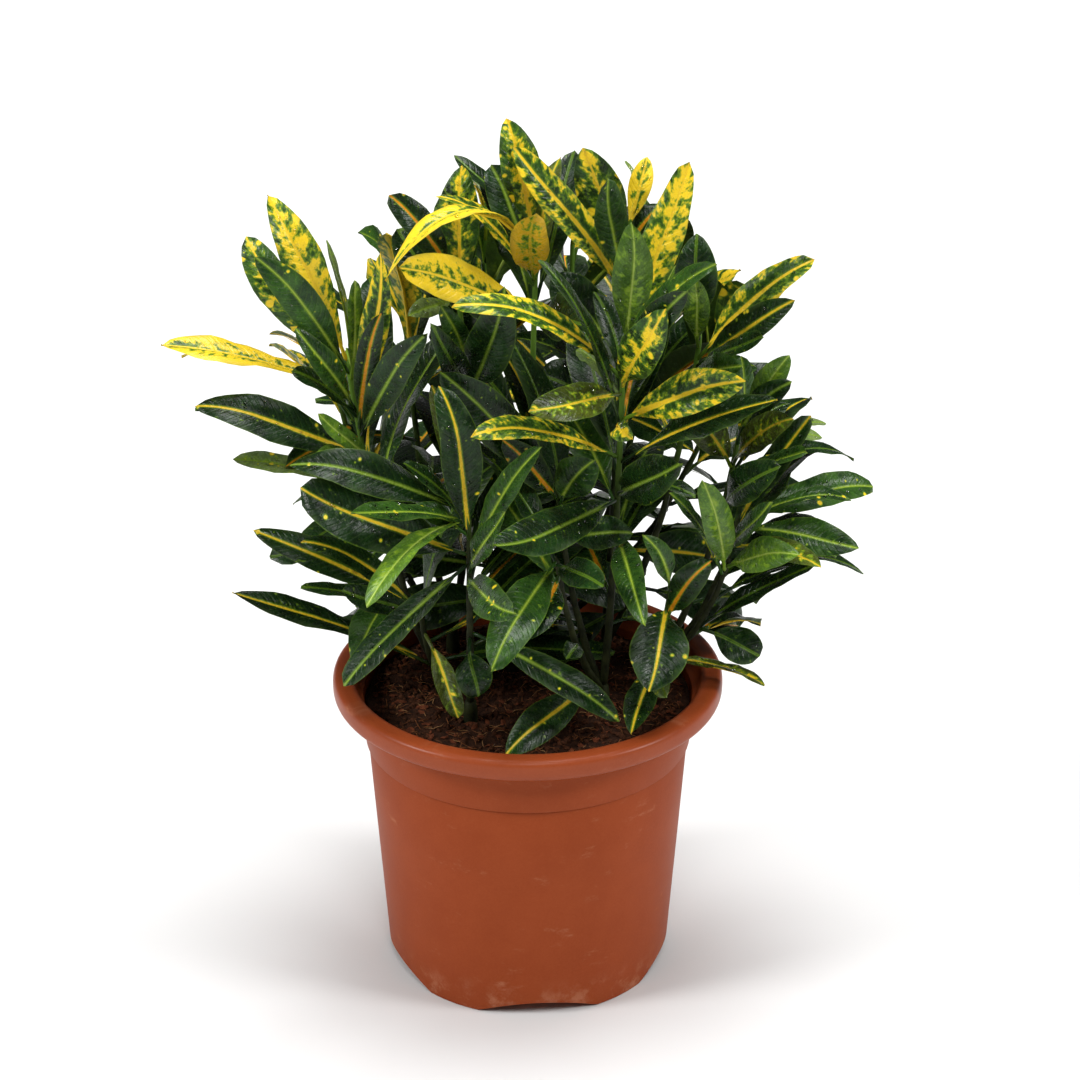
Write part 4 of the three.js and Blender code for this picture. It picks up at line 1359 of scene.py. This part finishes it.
@dataclass(frozen=True)
class PotFinish:
    """Moulded terracotta-coloured plastic: satin, faintly uneven, scuffed pale near the foot."""

    dark: Colour = srgb(140, 61, 27)
    light: Colour = srgb(148, 67, 32)
    scuffed: Colour = srgb(184, 124, 94)
    patch: float = 40.0
    grain: float = 900.0
    grain_share: float = 0.5
    roughness: float = 0.48
    specular: float = 0.09
    scuff: float = 0.7
    scuff_roughness: float = 0.3
    rim_height: float = 0.161
    rim_blend: float = 0.003
    rim_shine: float = 0.3
    rim_roughness: float = 0.3
    foot: float = 0.025
    relief: float = 0.1
    depth: float = 0.0003

    def material(self) -> Material:
        """The finish as a material.

        Returns:
            The material.
        """
        material, nodes, shader = new_material("terracotta_plastic")
        place = nodes.add("ShaderNodeTexCoord").outputs["Object"]
        values = {"Vector": place, "Dark": self.dark, "Light": self.light}
        values |= {"Patch": self.patch, "Grain": self.grain, "Grain Share": self.grain_share}
        mottle = place_group(nodes, MottleGroup.NAME, values)
        wear = place_group(nodes, ScuffGroup.NAME, {"Vector": place, "Foot": self.foot})
        scuffs = wear.outputs["Mask"]
        colour = nodes.blend(nodes.times(scuffs, self.scuff), mottle.outputs["Color"], self.scuffed)
        nodes.feed(shader.inputs["Base Color"], colour)
        roughness = nodes.scaled(scuffs, self.scuff_roughness, self.roughness)
        nodes.feed(shader.inputs["Roughness"], roughness)
        height, below = nodes.split(place)[2], self.rim_height - self.rim_blend
        shine = nodes.step(height, below, self.rim_height, 0, self.rim_shine)
        nodes.feed(shader.inputs["Coat Weight"], shine)
        shader.inputs["Coat Roughness"].default_value = self.rim_roughness
        shader.inputs["Specular IOR Level"].default_value = self.specular
        bump = {"Height": mottle.outputs["Height"], "Strength": self.relief, "Distance": self.depth}
        nodes.feed(shader.inputs["Normal"], nodes.add("ShaderNodeBump", bump).outputs["Normal"])
        return material


POT_PLASTIC = PotFinish()
COMPOST = MottledFinish(
    "compost", srgb(27, 15, 10), srgb(66, 40, 26),
    patch=260, grain=1400, grain_share=0.5, roughness=0.95, relief=0.8, depth=0.001,
)
CRUMB = MottledFinish(
    "compost_crumb", srgb(40, 23, 14), srgb(80, 47, 29),
    patch=300, grain=1500, grain_share=0.5, roughness=0.95, relief=0.6, depth=0.0006,
)
BARK_CHIP = MottledFinish(
    "bark_chip", srgb(58, 28, 16), srgb(112, 60, 36),
    patch=240, grain=1300, grain_share=0.5, roughness=0.85, relief=0.5, depth=0.0005,
)
COIR = MottledFinish(
    "coir", srgb(92, 54, 30), srgb(138, 88, 52),
    patch=300, grain=1500, roughness=0.85, relief=0.3, depth=0.0002,
)
STRAW = MottledFinish(
    "straw", srgb(128, 88, 54), srgb(168, 128, 86),
    patch=300, grain=1500, roughness=0.8, relief=0.3, depth=0.0002,
)
# The stems' colour: bark, darkened further so that its low part paints the shade inside the bush.
STEM_BARK_AND_SHADE = StemFinish(
    "stem_bark_and_painted_shade", srgb(21, 25, 13), srgb(46, 51, 25),
    patch=160, grain=900, grain_share=0.35, roughness=0.6, relief=0.5, depth=0.0004,
)


# Meshes


def to_object(
    bm: BMesh, name: str, finishes: Sequence[Material], sharp_deg: float = 40
) -> Object:
    """Makes a finished piece of a mesh whose points are in metres.

    Args:
        bm: The mesh, which is freed.
        name: The piece's name.
        finishes: Its materials, by slot.
        sharp_deg: The angle between faces past which an edge is shaded as sharp.

    Returns:
        The piece.
    """
    for face in bm.faces:
        face.smooth = True
    mesh = bpy.data.meshes.new(name)
    bm.to_mesh(mesh)
    bm.free()
    mesh.set_sharp_from_angle(angle=math.radians(sharp_deg))
    for finish in finishes:
        mesh.materials.append(finish)
    piece = bpy.data.objects.new(name, mesh)
    bpy.context.scene.collection.objects.link(piece)
    return piece


def settle(piece: Object, slot: str, *nodes: str) -> Object:
    """Rides a piece on the one body, and says in the log which nodes it stands for.

    Args:
        piece: The piece.
        slot: The material slot that it belongs to; not used.
        nodes: The solids that it replaces, if any.

    Returns:
        The same piece.
    """
    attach(piece, "root")
    if nodes:
        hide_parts(*nodes)
    faces = len(piece.data.polygons)
    LOG.info("%s: %d faces, stands for %s", piece.name, faces, ", ".join(nodes) or "no node")
    return piece


def sheet(bm: BMesh, cells: tuple[int, int]) -> tuple[Verts, np.ndarray, np.ndarray]:
    """Adds a flat grid to be shaped.

    Args:
        bm: The mesh that it is added to.
        cells: How many faces it has across and along.

    Returns:
        Its points, and for each how far across (-1 to 1) and along (0 to 1) it lies.
    """
    made = bmesh.ops.create_grid(bm, x_segments=cells[0], y_segments=cells[1], size=1.0)["verts"]
    across = np.array([v.co.x for v in made])
    along = np.array([(v.co.y + 1) / 2 for v in made])
    return made, across, along


def put(verts: Verts, points: Point) -> None:
    """Moves mesh points to places given in millimetres."""
    for vert, point in zip(verts, points):
        vert.co = point * MM


def faces_of(verts: Verts) -> list[BMFace]:
    """The faces that touch some points."""
    return list({face for vert in verts for face in vert.link_faces})


def add_tube(
    bm: BMesh, line: Point, radii: np.ndarray, sides: int, lift: Point | None = None
) -> tuple[Verts, np.ndarray]:
    """Adds a tube round a line, closed to a point at both ends.

    Args:
        bm: The mesh that it is added to.
        line: The points of its middle line, in millimetres.
        radii: Its radius at each of them.
        sides: How many faces it has round it.
        lift: A direction that isn't along the line, from which the sides are counted.

    Returns:
        Its points, and how far along the line each lies, from 0 to 1.
    """
    steps = len(line) - 1
    verts, across, along = sheet(bm, (sides, steps))
    index = np.rint(along * steps).astype(int)
    ahead = unit(np.gradient(line, axis=0))
    first = np.broadcast_to(vec(0, 1, 0.2) if lift is None else lift, ahead.shape)
    right = unit(np.cross(first, ahead))
    front = np.cross(ahead, right)
    angle = np.pi * across
    spokes = right[index] * np.cos(angle)[:, None] + front[index] * np.sin(angle)[:, None]
    put(verts, line[index] + spokes * radii[index][:, None])
    bmesh.ops.remove_doubles(bm, verts=verts, dist=1e-7)
    kept = [i for i, vert in enumerate(verts) if vert.is_valid]
    return [verts[i] for i in kept], along[kept]


# Sub-assemblies


@dataclass
class NurseryPot:
    """The moulded pot: rolled rim, neck, ledge, tapered wall, arched foot and drained floor."""

    height: float = 171.7
    rim_radius: float = 105.0
    rim_depth: float = 12.0
    rim_squareness: float = 0.62
    mouth_radius: float = 93.0
    neck_radius: float = 91.0
    step_height: float = 133.0
    step_radius: float = 87.0
    step_ledge: float = 1.2
    foot_radius: float = 77.8
    wall: float = 2.0
    floor_underside: float = 9.5
    foot_ring: float = 4.0
    feet: int = 5
    first_arch_deg: float = 4.5
    arch_width_deg: float = 51.0
    arch_height: float = 8.5
    drain_radius: float = 6.0
    drain_circle: float = 50.0
    drain_cut: float = 8.0
    sides: int = 160
    arch_steps: int = 24
    drain_sides: int = 32
    sharp_deg: float = 38.0

    def body_radius(self, height: float) -> float:
        """The outer radius of the tapered wall below the ledge."""
        return mix(self.foot_radius, self.step_radius, height / self.step_height)

    def profile(self) -> list[tuple[float, float]]:
        """The wall's closed outline, as radius and height, from the floor's middle and back.

        Returns:
            The outline's points, in millimetres.
        """
        roll_middle = (self.rim_radius + self.mouth_radius) / 2
        roll_half = (self.rim_radius - self.mouth_radius) / 2
        roll_height = self.height - self.rim_depth / 2
        roll = []
        for angle in np.radians(np.linspace(-65, 160, 22)):
            cos, sin = math.cos(angle), math.sin(angle)
            out = math.copysign(abs(cos) ** self.rim_squareness, cos)
            up = math.copysign(abs(sin) ** self.rim_squareness, sin)
            roll.append((roll_middle + roll_half * out, roll_height + self.rim_depth / 2 * up))
        floor_top = self.floor_underside + self.wall
        neck = self.height - self.rim_depth - 1
        ledge = self.step_radius + self.step_ledge
        inner = ledge - self.wall
        return [
            (0, floor_top),
            (0, self.floor_underside),
            (self.body_radius(self.floor_underside) - self.foot_ring - 1, self.floor_underside),
            (self.body_radius(self.floor_underside) - self.foot_ring, self.floor_underside - 1),
            (self.foot_radius - self.foot_ring, 0.4),
            (self.foot_radius - self.foot_ring + 0.5, 0),
            (self.foot_radius - 0.8, 0),
            (self.foot_radius - 0.1, 0.5),
            (self.body_radius(1.6), 1.6),
            (self.body_radius(self.step_height * 0.35), self.step_height * 0.35),
            (self.body_radius(self.step_height * 0.7), self.step_height * 0.7),
            (self.step_radius - 0.2, self.step_height - 1.8),
            (self.step_radius - 0.6, self.step_height - 0.6),
            (ledge - 0.35, self.step_height - 0.5),
            (ledge, self.step_height),
            (mix(ledge, self.neck_radius, 0.5), mix(self.step_height, neck, 0.5)),
            (self.neck_radius, neck - 2.5),
            (self.neck_radius + 0.5, neck - 0.8),
            *roll,
            (self.mouth_radius - 1.6, neck + 2),
            (self.neck_radius - self.wall, neck),
            (inner, self.step_height),
            (self.step_radius - self.wall, self.step_height - self.wall),
            (self.body_radius(floor_top) - self.wall, floor_top),
            (0, floor_top),
        ]

    def wall_mesh(self) -> BMesh:
        """The wall and floor, spun from the outline.

        Returns:
            The mesh.
        """
        bm = bmesh.new()
        points = self.profile()[:-1]
        outline = [bm.verts.new((radius * MM, 0, height * MM)) for radius, height in points]
        edges = [bm.edges.new(pair) for pair in zip(outline, outline[1:] + outline[:1])]
        spin = {"cent": (0, 0, 0), "axis": (0, 0, 1), "dvec": (0, 0, 0), "angle": 2 * math.pi}
        spin |= {"steps": self.sides, "use_merge": True}
        bmesh.ops.spin(bm, geom=[*outline, *edges], **spin)
        bmesh.ops.remove_doubles(bm, verts=bm.verts, dist=1e-6)
        bmesh.ops.dissolve_degenerate(bm, edges=bm.edges, dist=1e-6)
        bmesh.ops.recalc_face_normals(bm, faces=bm.faces)
        return bm

    def cutters(self) -> Object:
        """The shapes of the foot's arches and the floor's drain holes, as one object.

        Returns:
            The object, which is removed once it has cut the pot.
        """
        bm = bmesh.new()
        half = self.foot_radius * math.sin(math.radians(self.arch_width_deg / 2))
        depth = self.foot_radius / 2
        for i in range(self.feet):
            heading = math.radians(self.first_arch_deg - 90 + 360 / self.feet * i)
            turn = Matrix.Rotation(heading, 4, "Z")
            verts, across, along = sheet(bm, (self.arch_steps, 1))
            top = self.arch_height * (1 - across**2)
            inner = np.full(len(across), self.foot_radius * 0.6)
            put(verts, np.stack([inner, across * half, mix(-1, top, along)], 1))
            grown = bmesh.ops.extrude_face_region(bm, geom=faces_of(verts))["geom"]
            moved = [item for item in grown if isinstance(item, BMVert)]
            bmesh.ops.translate(bm, verts=moved, vec=(depth * MM, 0, 0))
            bmesh.ops.transform(bm, matrix=turn, verts=list({*verts, *moved}))
            middle = (self.drain_circle * MM, 0, (self.floor_underside + 1) * MM)
            size = self.drain_radius * MM
            drain = {"radius1": size, "radius2": size, "depth": self.drain_cut * MM}
            drain |= {"segments": self.drain_sides, "matrix": turn @ Matrix.Translation(middle)}
            bmesh.ops.create_cone(bm, cap_ends=True, **drain)
        bmesh.ops.remove_doubles(bm, verts=bm.verts, dist=1e-7)
        bmesh.ops.recalc_face_normals(bm, faces=bm.faces)
        return to_object(bm, "pot_cutters", ())

    def build(self, finish: Material) -> Object:
        """Makes the pot.

        Args:
            finish: The moulded plastic.

        Returns:
            The piece.
        """
        pot = to_object(self.wall_mesh(), "nursery_pot", (finish,))
        cutters = self.cutters()
        cut = pot.modifiers.new("arches_and_drains", "BOOLEAN")
        cut.operation, cut.solver, cut.object = "DIFFERENCE", "EXACT", cutters
        graph = bpy.context.evaluated_depsgraph_get()
        made = bpy.data.meshes.new_from_object(pot.evaluated_get(graph))
        pot.modifiers.clear()
        pot.data = made
        made.set_sharp_from_angle(angle=math.radians(self.sharp_deg))
        bpy.data.objects.remove(cutters)
        return settle(pot, "pot", "pot")


@dataclass
class PottingSoil:
    """The compost: a lumpy fill, with bark chips, crumbs and coir fibres lying on it."""

    edge_height: float = 156.0
    rise: float = 3.0
    edge_radius: float = 87.6
    bottom_radius: float = 76.0
    bottom_height: float = 11.9
    bottom_chamfer: float = 4.0
    rings: int = 46
    sides: int = 150
    crumbs: int = 1400
    crumb_sizes: tuple[float, float] = (0.6, 2.2)
    chips: int = 420
    chip_sizes: tuple[float, float] = (1.2, 3.9)
    chip_thinness: float = 0.22
    roughness: float = 0.16
    fibres: int = 700
    fibre_points: int = 5
    fibre_lengths: tuple[float, float] = (4, 12)
    fibre_radii: tuple[float, float] = (0.12, 0.26)
    pale_every: int = 5
    seed: int = 17

    def height_at(self, x: float, y: float) -> float:
        """The height of the compost's surface, in millimetres.

        Args:
            x: How far to the right.
            y: How far to the back.

        Returns:
            The height.
        """
        share = min(1.0, math.hypot(x, y) / self.edge_radius)
        broad = noise.noise(Vector((x / 21, y / 21, 3.1)))
        fine = noise.noise(Vector((x / 5.5, y / 5.5, 9.7)))
        small = noise.noise(Vector((x / 1.9, y / 1.9, 5.2)))
        lumps = 1.7 * broad + 1.5 * fine + 0.8 * small
        return self.edge_height + self.rise * (1 - share**2) + lumps - 1.2 * share**8

    def fill(self, finish: Material) -> Object:
        """The fill itself, a closed plug with a lumpy top.

        Args:
            finish: Compost.

        Returns:
            The piece.
        """
        bm = bmesh.new()
        base = (
            (0, self.bottom_height),
            (self.bottom_radius, self.bottom_height),
            (self.bottom_radius, self.bottom_height + self.bottom_chamfer),
        )
        steps = self.rings + len(base)
        verts, across, along = sheet(bm, (self.sides, steps))
        points = []
        for place, angle in zip(np.rint(along * steps).astype(int), np.pi * across):
            if place < len(base):
                radius, height = base[place]
            else:
                radius = self.edge_radius * (1 - (place - len(base)) / self.rings)
                height = None
            x, y = radius * math.cos(angle), radius * math.sin(angle)
            points.append((x, y, self.height_at(x, y) if height is None else height))
        put(verts, np.array(points))
        bmesh.ops.remove_doubles(bm, verts=bm.verts, dist=1e-6)
        bmesh.ops.recalc_face_normals(bm, faces=bm.faces)
        return settle(to_object(bm, "potting_soil", (finish,), 180), "soil", "soil")

    def scattered(self, draw: random.Random, count: int) -> Iterator[tuple[float, float]]:
        """Places spread over the surface, in millimetres.

        Args:
            draw: The draws of the places.
            count: How many are wanted.

        Returns:
            The places, one after the other.
        """
        for _ in range(count):
            radius = (self.edge_radius - 4) * math.sqrt(draw.random())
            angle = draw.uniform(0, 2 * math.pi)
            yield radius * math.cos(angle), radius * math.sin(angle)

    def add_bit(
        self, bm: BMesh, draw: random.Random, place: tuple[float, float], chip: bool
    ) -> None:
        """Adds a crumb of compost or a flake of bark, with twenty faces.

        Args:
            bm: The mesh that it is added to.
            draw: The draws of its size, form and turn.
            place: Where it lies, in millimetres.
            chip: Whether it is a flake of bark.
        """
        x, y = place
        if chip:
            size = draw.uniform(*self.chip_sizes)
            form = (1.0, draw.uniform(0.35, 0.7), self.chip_thinness)
        else:
            size = draw.uniform(*self.crumb_sizes)
            form = (1.0, draw.uniform(0.7, 1), draw.uniform(0.6, 0.9))
        roll, pitch = draw.uniform(-0.6, 0.6), draw.uniform(-0.6, 0.6)
        tilt = Matrix.Rotation(roll, 4, "X") @ Matrix.Rotation(pitch, 4, "Y")
        turn = Matrix.Rotation(draw.uniform(0, 2 * math.pi), 4, "Z") @ tilt
        scale = Matrix.Diagonal((*(size * MM * part for part in form), 1))
        height = self.height_at(x, y) + 0.3 * size * form[2]
        matrix = Matrix.Translation((x * MM, y * MM, height * MM)) @ turn @ scale
        made = bmesh.ops.create_icosphere(bm, subdivisions=1, radius=1, matrix=matrix)["verts"]
        for vert in made:
            jitter = [draw.uniform(-self.roughness, self.roughness) for _ in form]
            vert.co += Vector([part * size * MM * share for part, share in zip(jitter, form)])
        for face in faces_of(made):
            face.material_index = int(chip)

    def bits(self, crumb: Material, chip: Material) -> Object:
        """Crumbs of compost and flakes of bark, strewn over the surface.

        Args:
            crumb: The crumbs' finish.
            chip: The flakes' finish.

        Returns:
            The piece.
        """
        draw = random.Random(self.seed)
        bm = bmesh.new()
        for is_chip, count in ((False, self.crumbs), (True, self.chips)):
            for place in self.scattered(draw, count):
                self.add_bit(bm, draw, place, is_chip)
        return settle(to_object(bm, "soil_crumbs_and_bark", (crumb, chip), 20), "soil")

    def coir(self, pale: Material, brown: Material) -> Object:
        """Fine fibres of coir, one in a few of them straw, curled over the surface.

        Args:
            pale: The straw's finish.
            brown: The coir's finish.

        Returns:
            The piece.
        """
        draw = random.Random(self.seed + 1)
        bm = bmesh.new()
        for i, (x, y) in enumerate(self.scattered(draw, self.fibres)):
            step = draw.uniform(*self.fibre_lengths) / (self.fibre_points - 1)
            heading, curl = draw.uniform(0, 2 * math.pi), draw.uniform(-1.6, 1.6)
            line = []
            for _ in range(self.fibre_points):
                line.append((x, y, self.height_at(x, y) + draw.uniform(0.4, 1.5)))
                heading += curl / self.fibre_points
                x, y = x + step * math.cos(heading), y + step * math.sin(heading)
                if math.hypot(x, y) > self.edge_radius - 2:
                    break
            if len(line) < 3:
                continue
            radius = draw.uniform(*self.fibre_radii)
            radii = np.array([0.0] + [radius] * (len(line) - 2) + [0.0])
            verts, _ = add_tube(bm, np.array(line), radii, 4, vec(0, 0, 1))
            for face in faces_of(verts):
                face.material_index = i % self.pale_every == 0
        bmesh.ops.recalc_face_normals(bm, faces=bm.faces)
        return settle(to_object(bm, "coir_fibres", (brown, pale), 180), "soil")


@dataclass
class LeafyStem:
    """One rooted cutting dressed: its trunk, its shoots and its leaves."""

    order: int
    cutting: Cutting
    growths: list[Growth]
    leaves: list[LeafForm]
    root_depth: float = 92.0
    soil_height: float = 156.0
    near_cells: tuple[int, int] = (6, 14)
    far_cells: tuple[int, int] = (4, 9)
    thickness: float = 0.6
    rib_places: tuple[float, ...] = (0.3, 0.5, 0.7, 0.9)
    rib_radii: tuple[float, ...] = (0, 1.15, 1.0, 1.0, 0.85, 0.7, 0.5, 0.0)
    rib_sink: float = 0.8
    stalk_share: float = 0.5
    stalk_aside: float = 1.7
    trunk_heights: tuple[float, ...] = (136, 150, 158, 165, 170, 172)
    trunk_radii: tuple[float, ...] = (0, 3.1, 3.9, 3.8, 3.9, 3.7, 3.0, 0)
    trunk_sides: int = 10
    shoot_sides: int = 8
    shoot_points: int = 26
    swelling: float = 0.07
    sharp_deg: float = 75.0
    number_step: float = 31.0

    def add_leaf(self, bm: BMesh, form: LeafForm) -> None:
        """Adds a leaf: an upper and a lower skin that meet along the edge, and a rib below.

        Args:
            bm: The mesh that it is added to.
            form: The leaf's form.
        """
        cells = self.near_cells if form.number <= PLACED else self.far_cells
        slot = list(Look).index(form.look)
        skins = []
        for upper in (1, 0):
            verts, across, along = sheet(bm, cells)
            blade = along * (1.4 - 0.4 * along)
            points, normal, aside = form.surface(across, blade)
            ends = np.sin(np.pi * np.clip(blade, 0.03, 0.97)) ** 0.3
            half = self.thickness / 2 * (1 - np.abs(across) ** 3) * ends
            skin = points + normal * (half * (1 if upper else -1))[:, None]
            put(verts, np.clip(skin, *(np.array(CAD_BOX) / MM)))
            self.mark(bm, verts, form, np.stack([across, blade, aside], 1), upper)
            faces = faces_of(verts)
            for face in faces:
                face.material_index = slot
            if not upper:
                bmesh.ops.reverse_faces(bm, faces=faces)
            skins += verts
        bmesh.ops.remove_doubles(bm, verts=skins, dist=1e-6)
        self.add_rib(bm, form, slot)

    def add_rib(self, bm: BMesh, form: LeafForm, slot: int) -> None:
        """Adds the stalk, which runs on under the blade as its midrib.

        Args:
            bm: The mesh that it is added to.
            form: The leaf's form.
            slot: The material slot of its colouring.
        """
        stalk = form.stalk / form.length
        places = np.array([0, 0.3 * stalk, 0.75 * stalk, stalk, *self.rib_places])
        blade = np.clip((places - stalk) / (1 - stalk), 0, 1)
        middle, _, normal = form.frame_at(places, blade)
        radii = np.array(self.rib_radii)
        sink = np.where(places > stalk * 1.01, radii * self.rib_sink, 0)
        verts, along = add_tube(bm, middle - normal * sink[:, None], radii, 6, form.face)
        on_leaf = np.zeros((len(verts), 3))
        on_leaf[:, 1] = 0.3
        on_leaf[:, 2] = np.where(along < self.stalk_share, self.stalk_aside, 0.0)
        self.mark(bm, verts, form, on_leaf, 1)
        for face in faces_of(verts):
            face.material_index = slot

    def mark(self, bm: BMesh, verts: Verts, form: LeafForm, on_leaf: Point, upper: int) -> None:
        """Writes on a leaf's points where they lie on it, as its finish reads it.

        Args:
            bm: The mesh.
            verts: The points.
            form: The leaf's form.
            on_leaf: A row for each point: from -1 to 1 across the blade, from 0 to 1 along it,
                and how many millimetres aside from the midrib.
            upper: 1 on the upper face and 0 below.
        """
        layers = bm.verts.layers.float_vector
        leaf, place = layers["leaf"], layers["place"]
        for vert, (across, along, aside) in zip(verts, on_leaf):
            vert[leaf] = (across, along, upper)
            vert[place] = (aside, along * form.length, form.number * self.number_step)

    def add_stems(self, bm: BMesh) -> None:
        """Adds the trunk and the shoots, each shoot swelling a little in regular waves along it.

        Args:
            bm: The mesh that they are added to.
        """
        slot = len(Look)
        x, y = self.cutting.trunk
        foot = self.soil_height - self.root_depth
        line = np.array([(x, y, height) for height in (foot, foot + 2, *self.trunk_heights)])
        verts, _ = add_tube(bm, line, np.array(self.trunk_radii), self.trunk_sides, vec(0, 1, 0))
        stems = list(verts)
        for growth in self.growths:
            parts = np.linspace(0, 1, self.shoot_points)
            line = np.array([growth.up(part) for part in parts])
            swollen = 1 + self.swelling * np.sin(parts * 75)
            radii = mix(growth.radius, growth.tip_radius, parts) * swollen
            radii[[0, -1]] = 0
            verts, _ = add_tube(bm, line, radii, self.shoot_sides)
            stems += verts
        for face in faces_of(stems):
            face.material_index = slot

    def build(self, finishes: Sequence[Material]) -> Object:
        """Makes the cutting.

        Args:
            finishes: The leaf colourings in the order of Look, then the stems' bark.

        Returns:
            The piece.
        """
        bm = bmesh.new()
        bm.verts.layers.float_vector.new("leaf")
        bm.verts.layers.float_vector.new("place")
        for form in self.leaves:
            self.add_leaf(bm, form)
        self.add_stems(bm)
        piece = to_object(bm, f"croton_cutting_{self.order + 1}", finishes, self.sharp_deg)
        return settle(piece, "leaf", f"leafy_stem_{self.order + 1}")


@dataclass
class Droplets:
    """Drops of water left on the near leaves after watering."""

    each: int = 8
    sizes: tuple[float, float] = (0.4, 1.2)
    flatness: float = 0.5
    clearance: float = 0.35
    seed: int = 5

    def build(self, forms: Sequence[LeafForm], finish: Material) -> Object:
        """Makes the drops.

        Args:
            forms: The leaves that may carry them.
            finish: Water.

        Returns:
            The piece.
        """
        draw = random.Random(self.seed)
        bm = bmesh.new()
        for form in forms:
            for _ in range(draw.randint(0, self.each)):
                across, along = draw.uniform(-0.75, 0.75), draw.uniform(0.15, 0.9)
                points, normals, _ = form.surface(np.array([across]), np.array([along]))
                size = draw.uniform(*self.sizes) * MM
                turn = Vector(normals[0]).to_track_quat("Z", "Y").to_matrix().to_4x4()
                place = Matrix.Translation((points[0] + normals[0] * self.clearance) * MM)
                shape = {"u_segments": 8, "v_segments": 5, "radius": size}
                shape["matrix"] = place @ turn @ Matrix.Diagonal((1, 1, self.flatness, 1))
                bmesh.ops.create_uvsphere(bm, **shape)
        return settle(to_object(bm, "water_drops", (finish,), 180), "leaf")


class SoftLight(NamedTuple):
    """A soft light: where it shines from in metres, how wide it is seen, and its watts per m2."""

    name: str
    place: tuple[float, float, float]
    spread_deg: float
    power: float


@dataclass
class Studio:
    """The pale floor, the soft lights and the camera at the photograph's angle."""

    lights: tuple[SoftLight, ...] = (
        SoftLight("key_left", (-4.1, -1.4, 3.4), 15, 1.75),
        SoftLight("key_right", (4.1, -1.2, 3.3), 15, 1.45),
        SoftLight("top", (0.2, 0.6, 4.8), 32, 2.7),
        SoftLight("front", (0.3, -3.0, 4.3), 16, 0.7),
    )
    light_aim: tuple[float, float, float] = (0, 0, 0.25)
    camera_place: tuple[float, float, float] = (0.0066, -1.1823, 0.7847)
    camera_aim: tuple[float, float, float] = (0.0066, 0.0, 0.2466)
    lens_mm: float = 82.2
    sensor_mm: float = 36.0
    world_light: float = 0.1
    floor_colour: tuple[float, float, float, float] = (0.73, 0.73, 0.726, 1)
    floor_roughness: float = 0.9
    floor_size: float = 40.0

    def add_camera(self) -> None:
        """Adds the camera."""
        data = bpy.data.cameras.new("camera")
        data.lens, data.sensor_width = self.lens_mm, self.sensor_mm
        camera = bpy.data.objects.new("camera", data)
        camera.location = self.camera_place
        aim = Vector(self.camera_aim) - Vector(self.camera_place)
        camera.rotation_euler = aim.to_track_quat("-Z", "Y").to_euler()
        bpy.context.scene.collection.objects.link(camera)
        bpy.context.scene.camera = camera

    def add_light(self, light: SoftLight) -> None:
        """Adds a soft light that shines towards the plant's middle.

        Args:
            light: The light.
        """
        data = bpy.data.lights.new(light.name, "SUN")
        data.angle, data.energy = math.radians(light.spread_deg), light.power
        lamp = bpy.data.objects.new(light.name, data)
        lamp.location = light.place
        aim = Vector(self.light_aim) - Vector(light.place)
        lamp.rotation_euler = aim.to_track_quat("-Z", "Y").to_euler()
        bpy.context.scene.collection.objects.link(lamp)

    def add_world(self) -> None:
        """Adds the faint light from all round."""
        world = bpy.data.worlds.new("studio")
        world.use_nodes = True
        background = world.node_tree.nodes["Background"]
        background.inputs["Color"].default_value = (1, 1, 1, 1)
        background.inputs["Strength"].default_value = self.world_light
        bpy.context.scene.world = world

    def add_floor(self) -> None:
        """Adds the floor."""
        material, _, shader = new_material("pale_floor")
        shader.inputs["Base Color"].default_value = self.floor_colour
        shader.inputs["Roughness"].default_value = self.floor_roughness
        bm = bmesh.new()
        bmesh.ops.create_grid(bm, x_segments=1, y_segments=1, size=self.floor_size)
        floor = to_object(bm, "studio_floor", (material,))
        floor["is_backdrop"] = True

    def build(self) -> None:
        """Sets the stage."""
        bpy.context.scene.view_settings.view_transform = "Standard"
        self.add_camera()
        for light in self.lights:
            self.add_light(light)
        self.add_world()
        self.add_floor()


def water() -> Material:
    """Clear water."""
    material, _, shader = new_material("water")
    shader.inputs["Base Color"].default_value = (1, 1, 1, 1)
    shader.inputs["Roughness"].default_value = 0.03
    shader.inputs["IOR"].default_value = 1.33
    shader.inputs["Transmission Weight"].default_value = 1.0
    return material


def write_sizes() -> None:
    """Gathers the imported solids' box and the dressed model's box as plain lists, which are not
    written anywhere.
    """
    boxes = {"cad": CAD_BOX, "visual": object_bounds()}
    plain = {name: [list(corner) for corner in box] for name, box in boxes.items()}


def main() -> None:
    """Builds the studio and the object's pieces in order."""
    logging.basicConfig(level=logging.INFO, format="%(name)s: %(message)s")
    Studio().build()
    MottleGroup.build()
    ScuffGroup.build()
    LeafGroup().build()
    NurseryPot().build(POT_PLASTIC.material())
    soil = PottingSoil()
    soil.fill(COMPOST.material())
    soil.bits(CRUMB.material(), BARK_CHIP.material())
    soil.coir(STRAW.material(), COIR.material())
    bush = Bush()
    bush.grow()
    finishes = [LEAF_FINISHES[look].material(f"leaf_{look.name.lower()}") for look in Look]
    finishes.append(STEM_BARK_AND_SHADE.material())
    for order, cutting in enumerate(bush.cuttings):
        growths = [growth for growth in bush.growths if growth.cutting == order]
        LeafyStem(order, cutting, growths, bush.leaves[order]).build(finishes)
    near = [form for forms in bush.leaves for form in forms if form.number <= PLACED]
    Droplets().build(near, water())
    write_sizes()


if __name__ == "__main__":
    main()
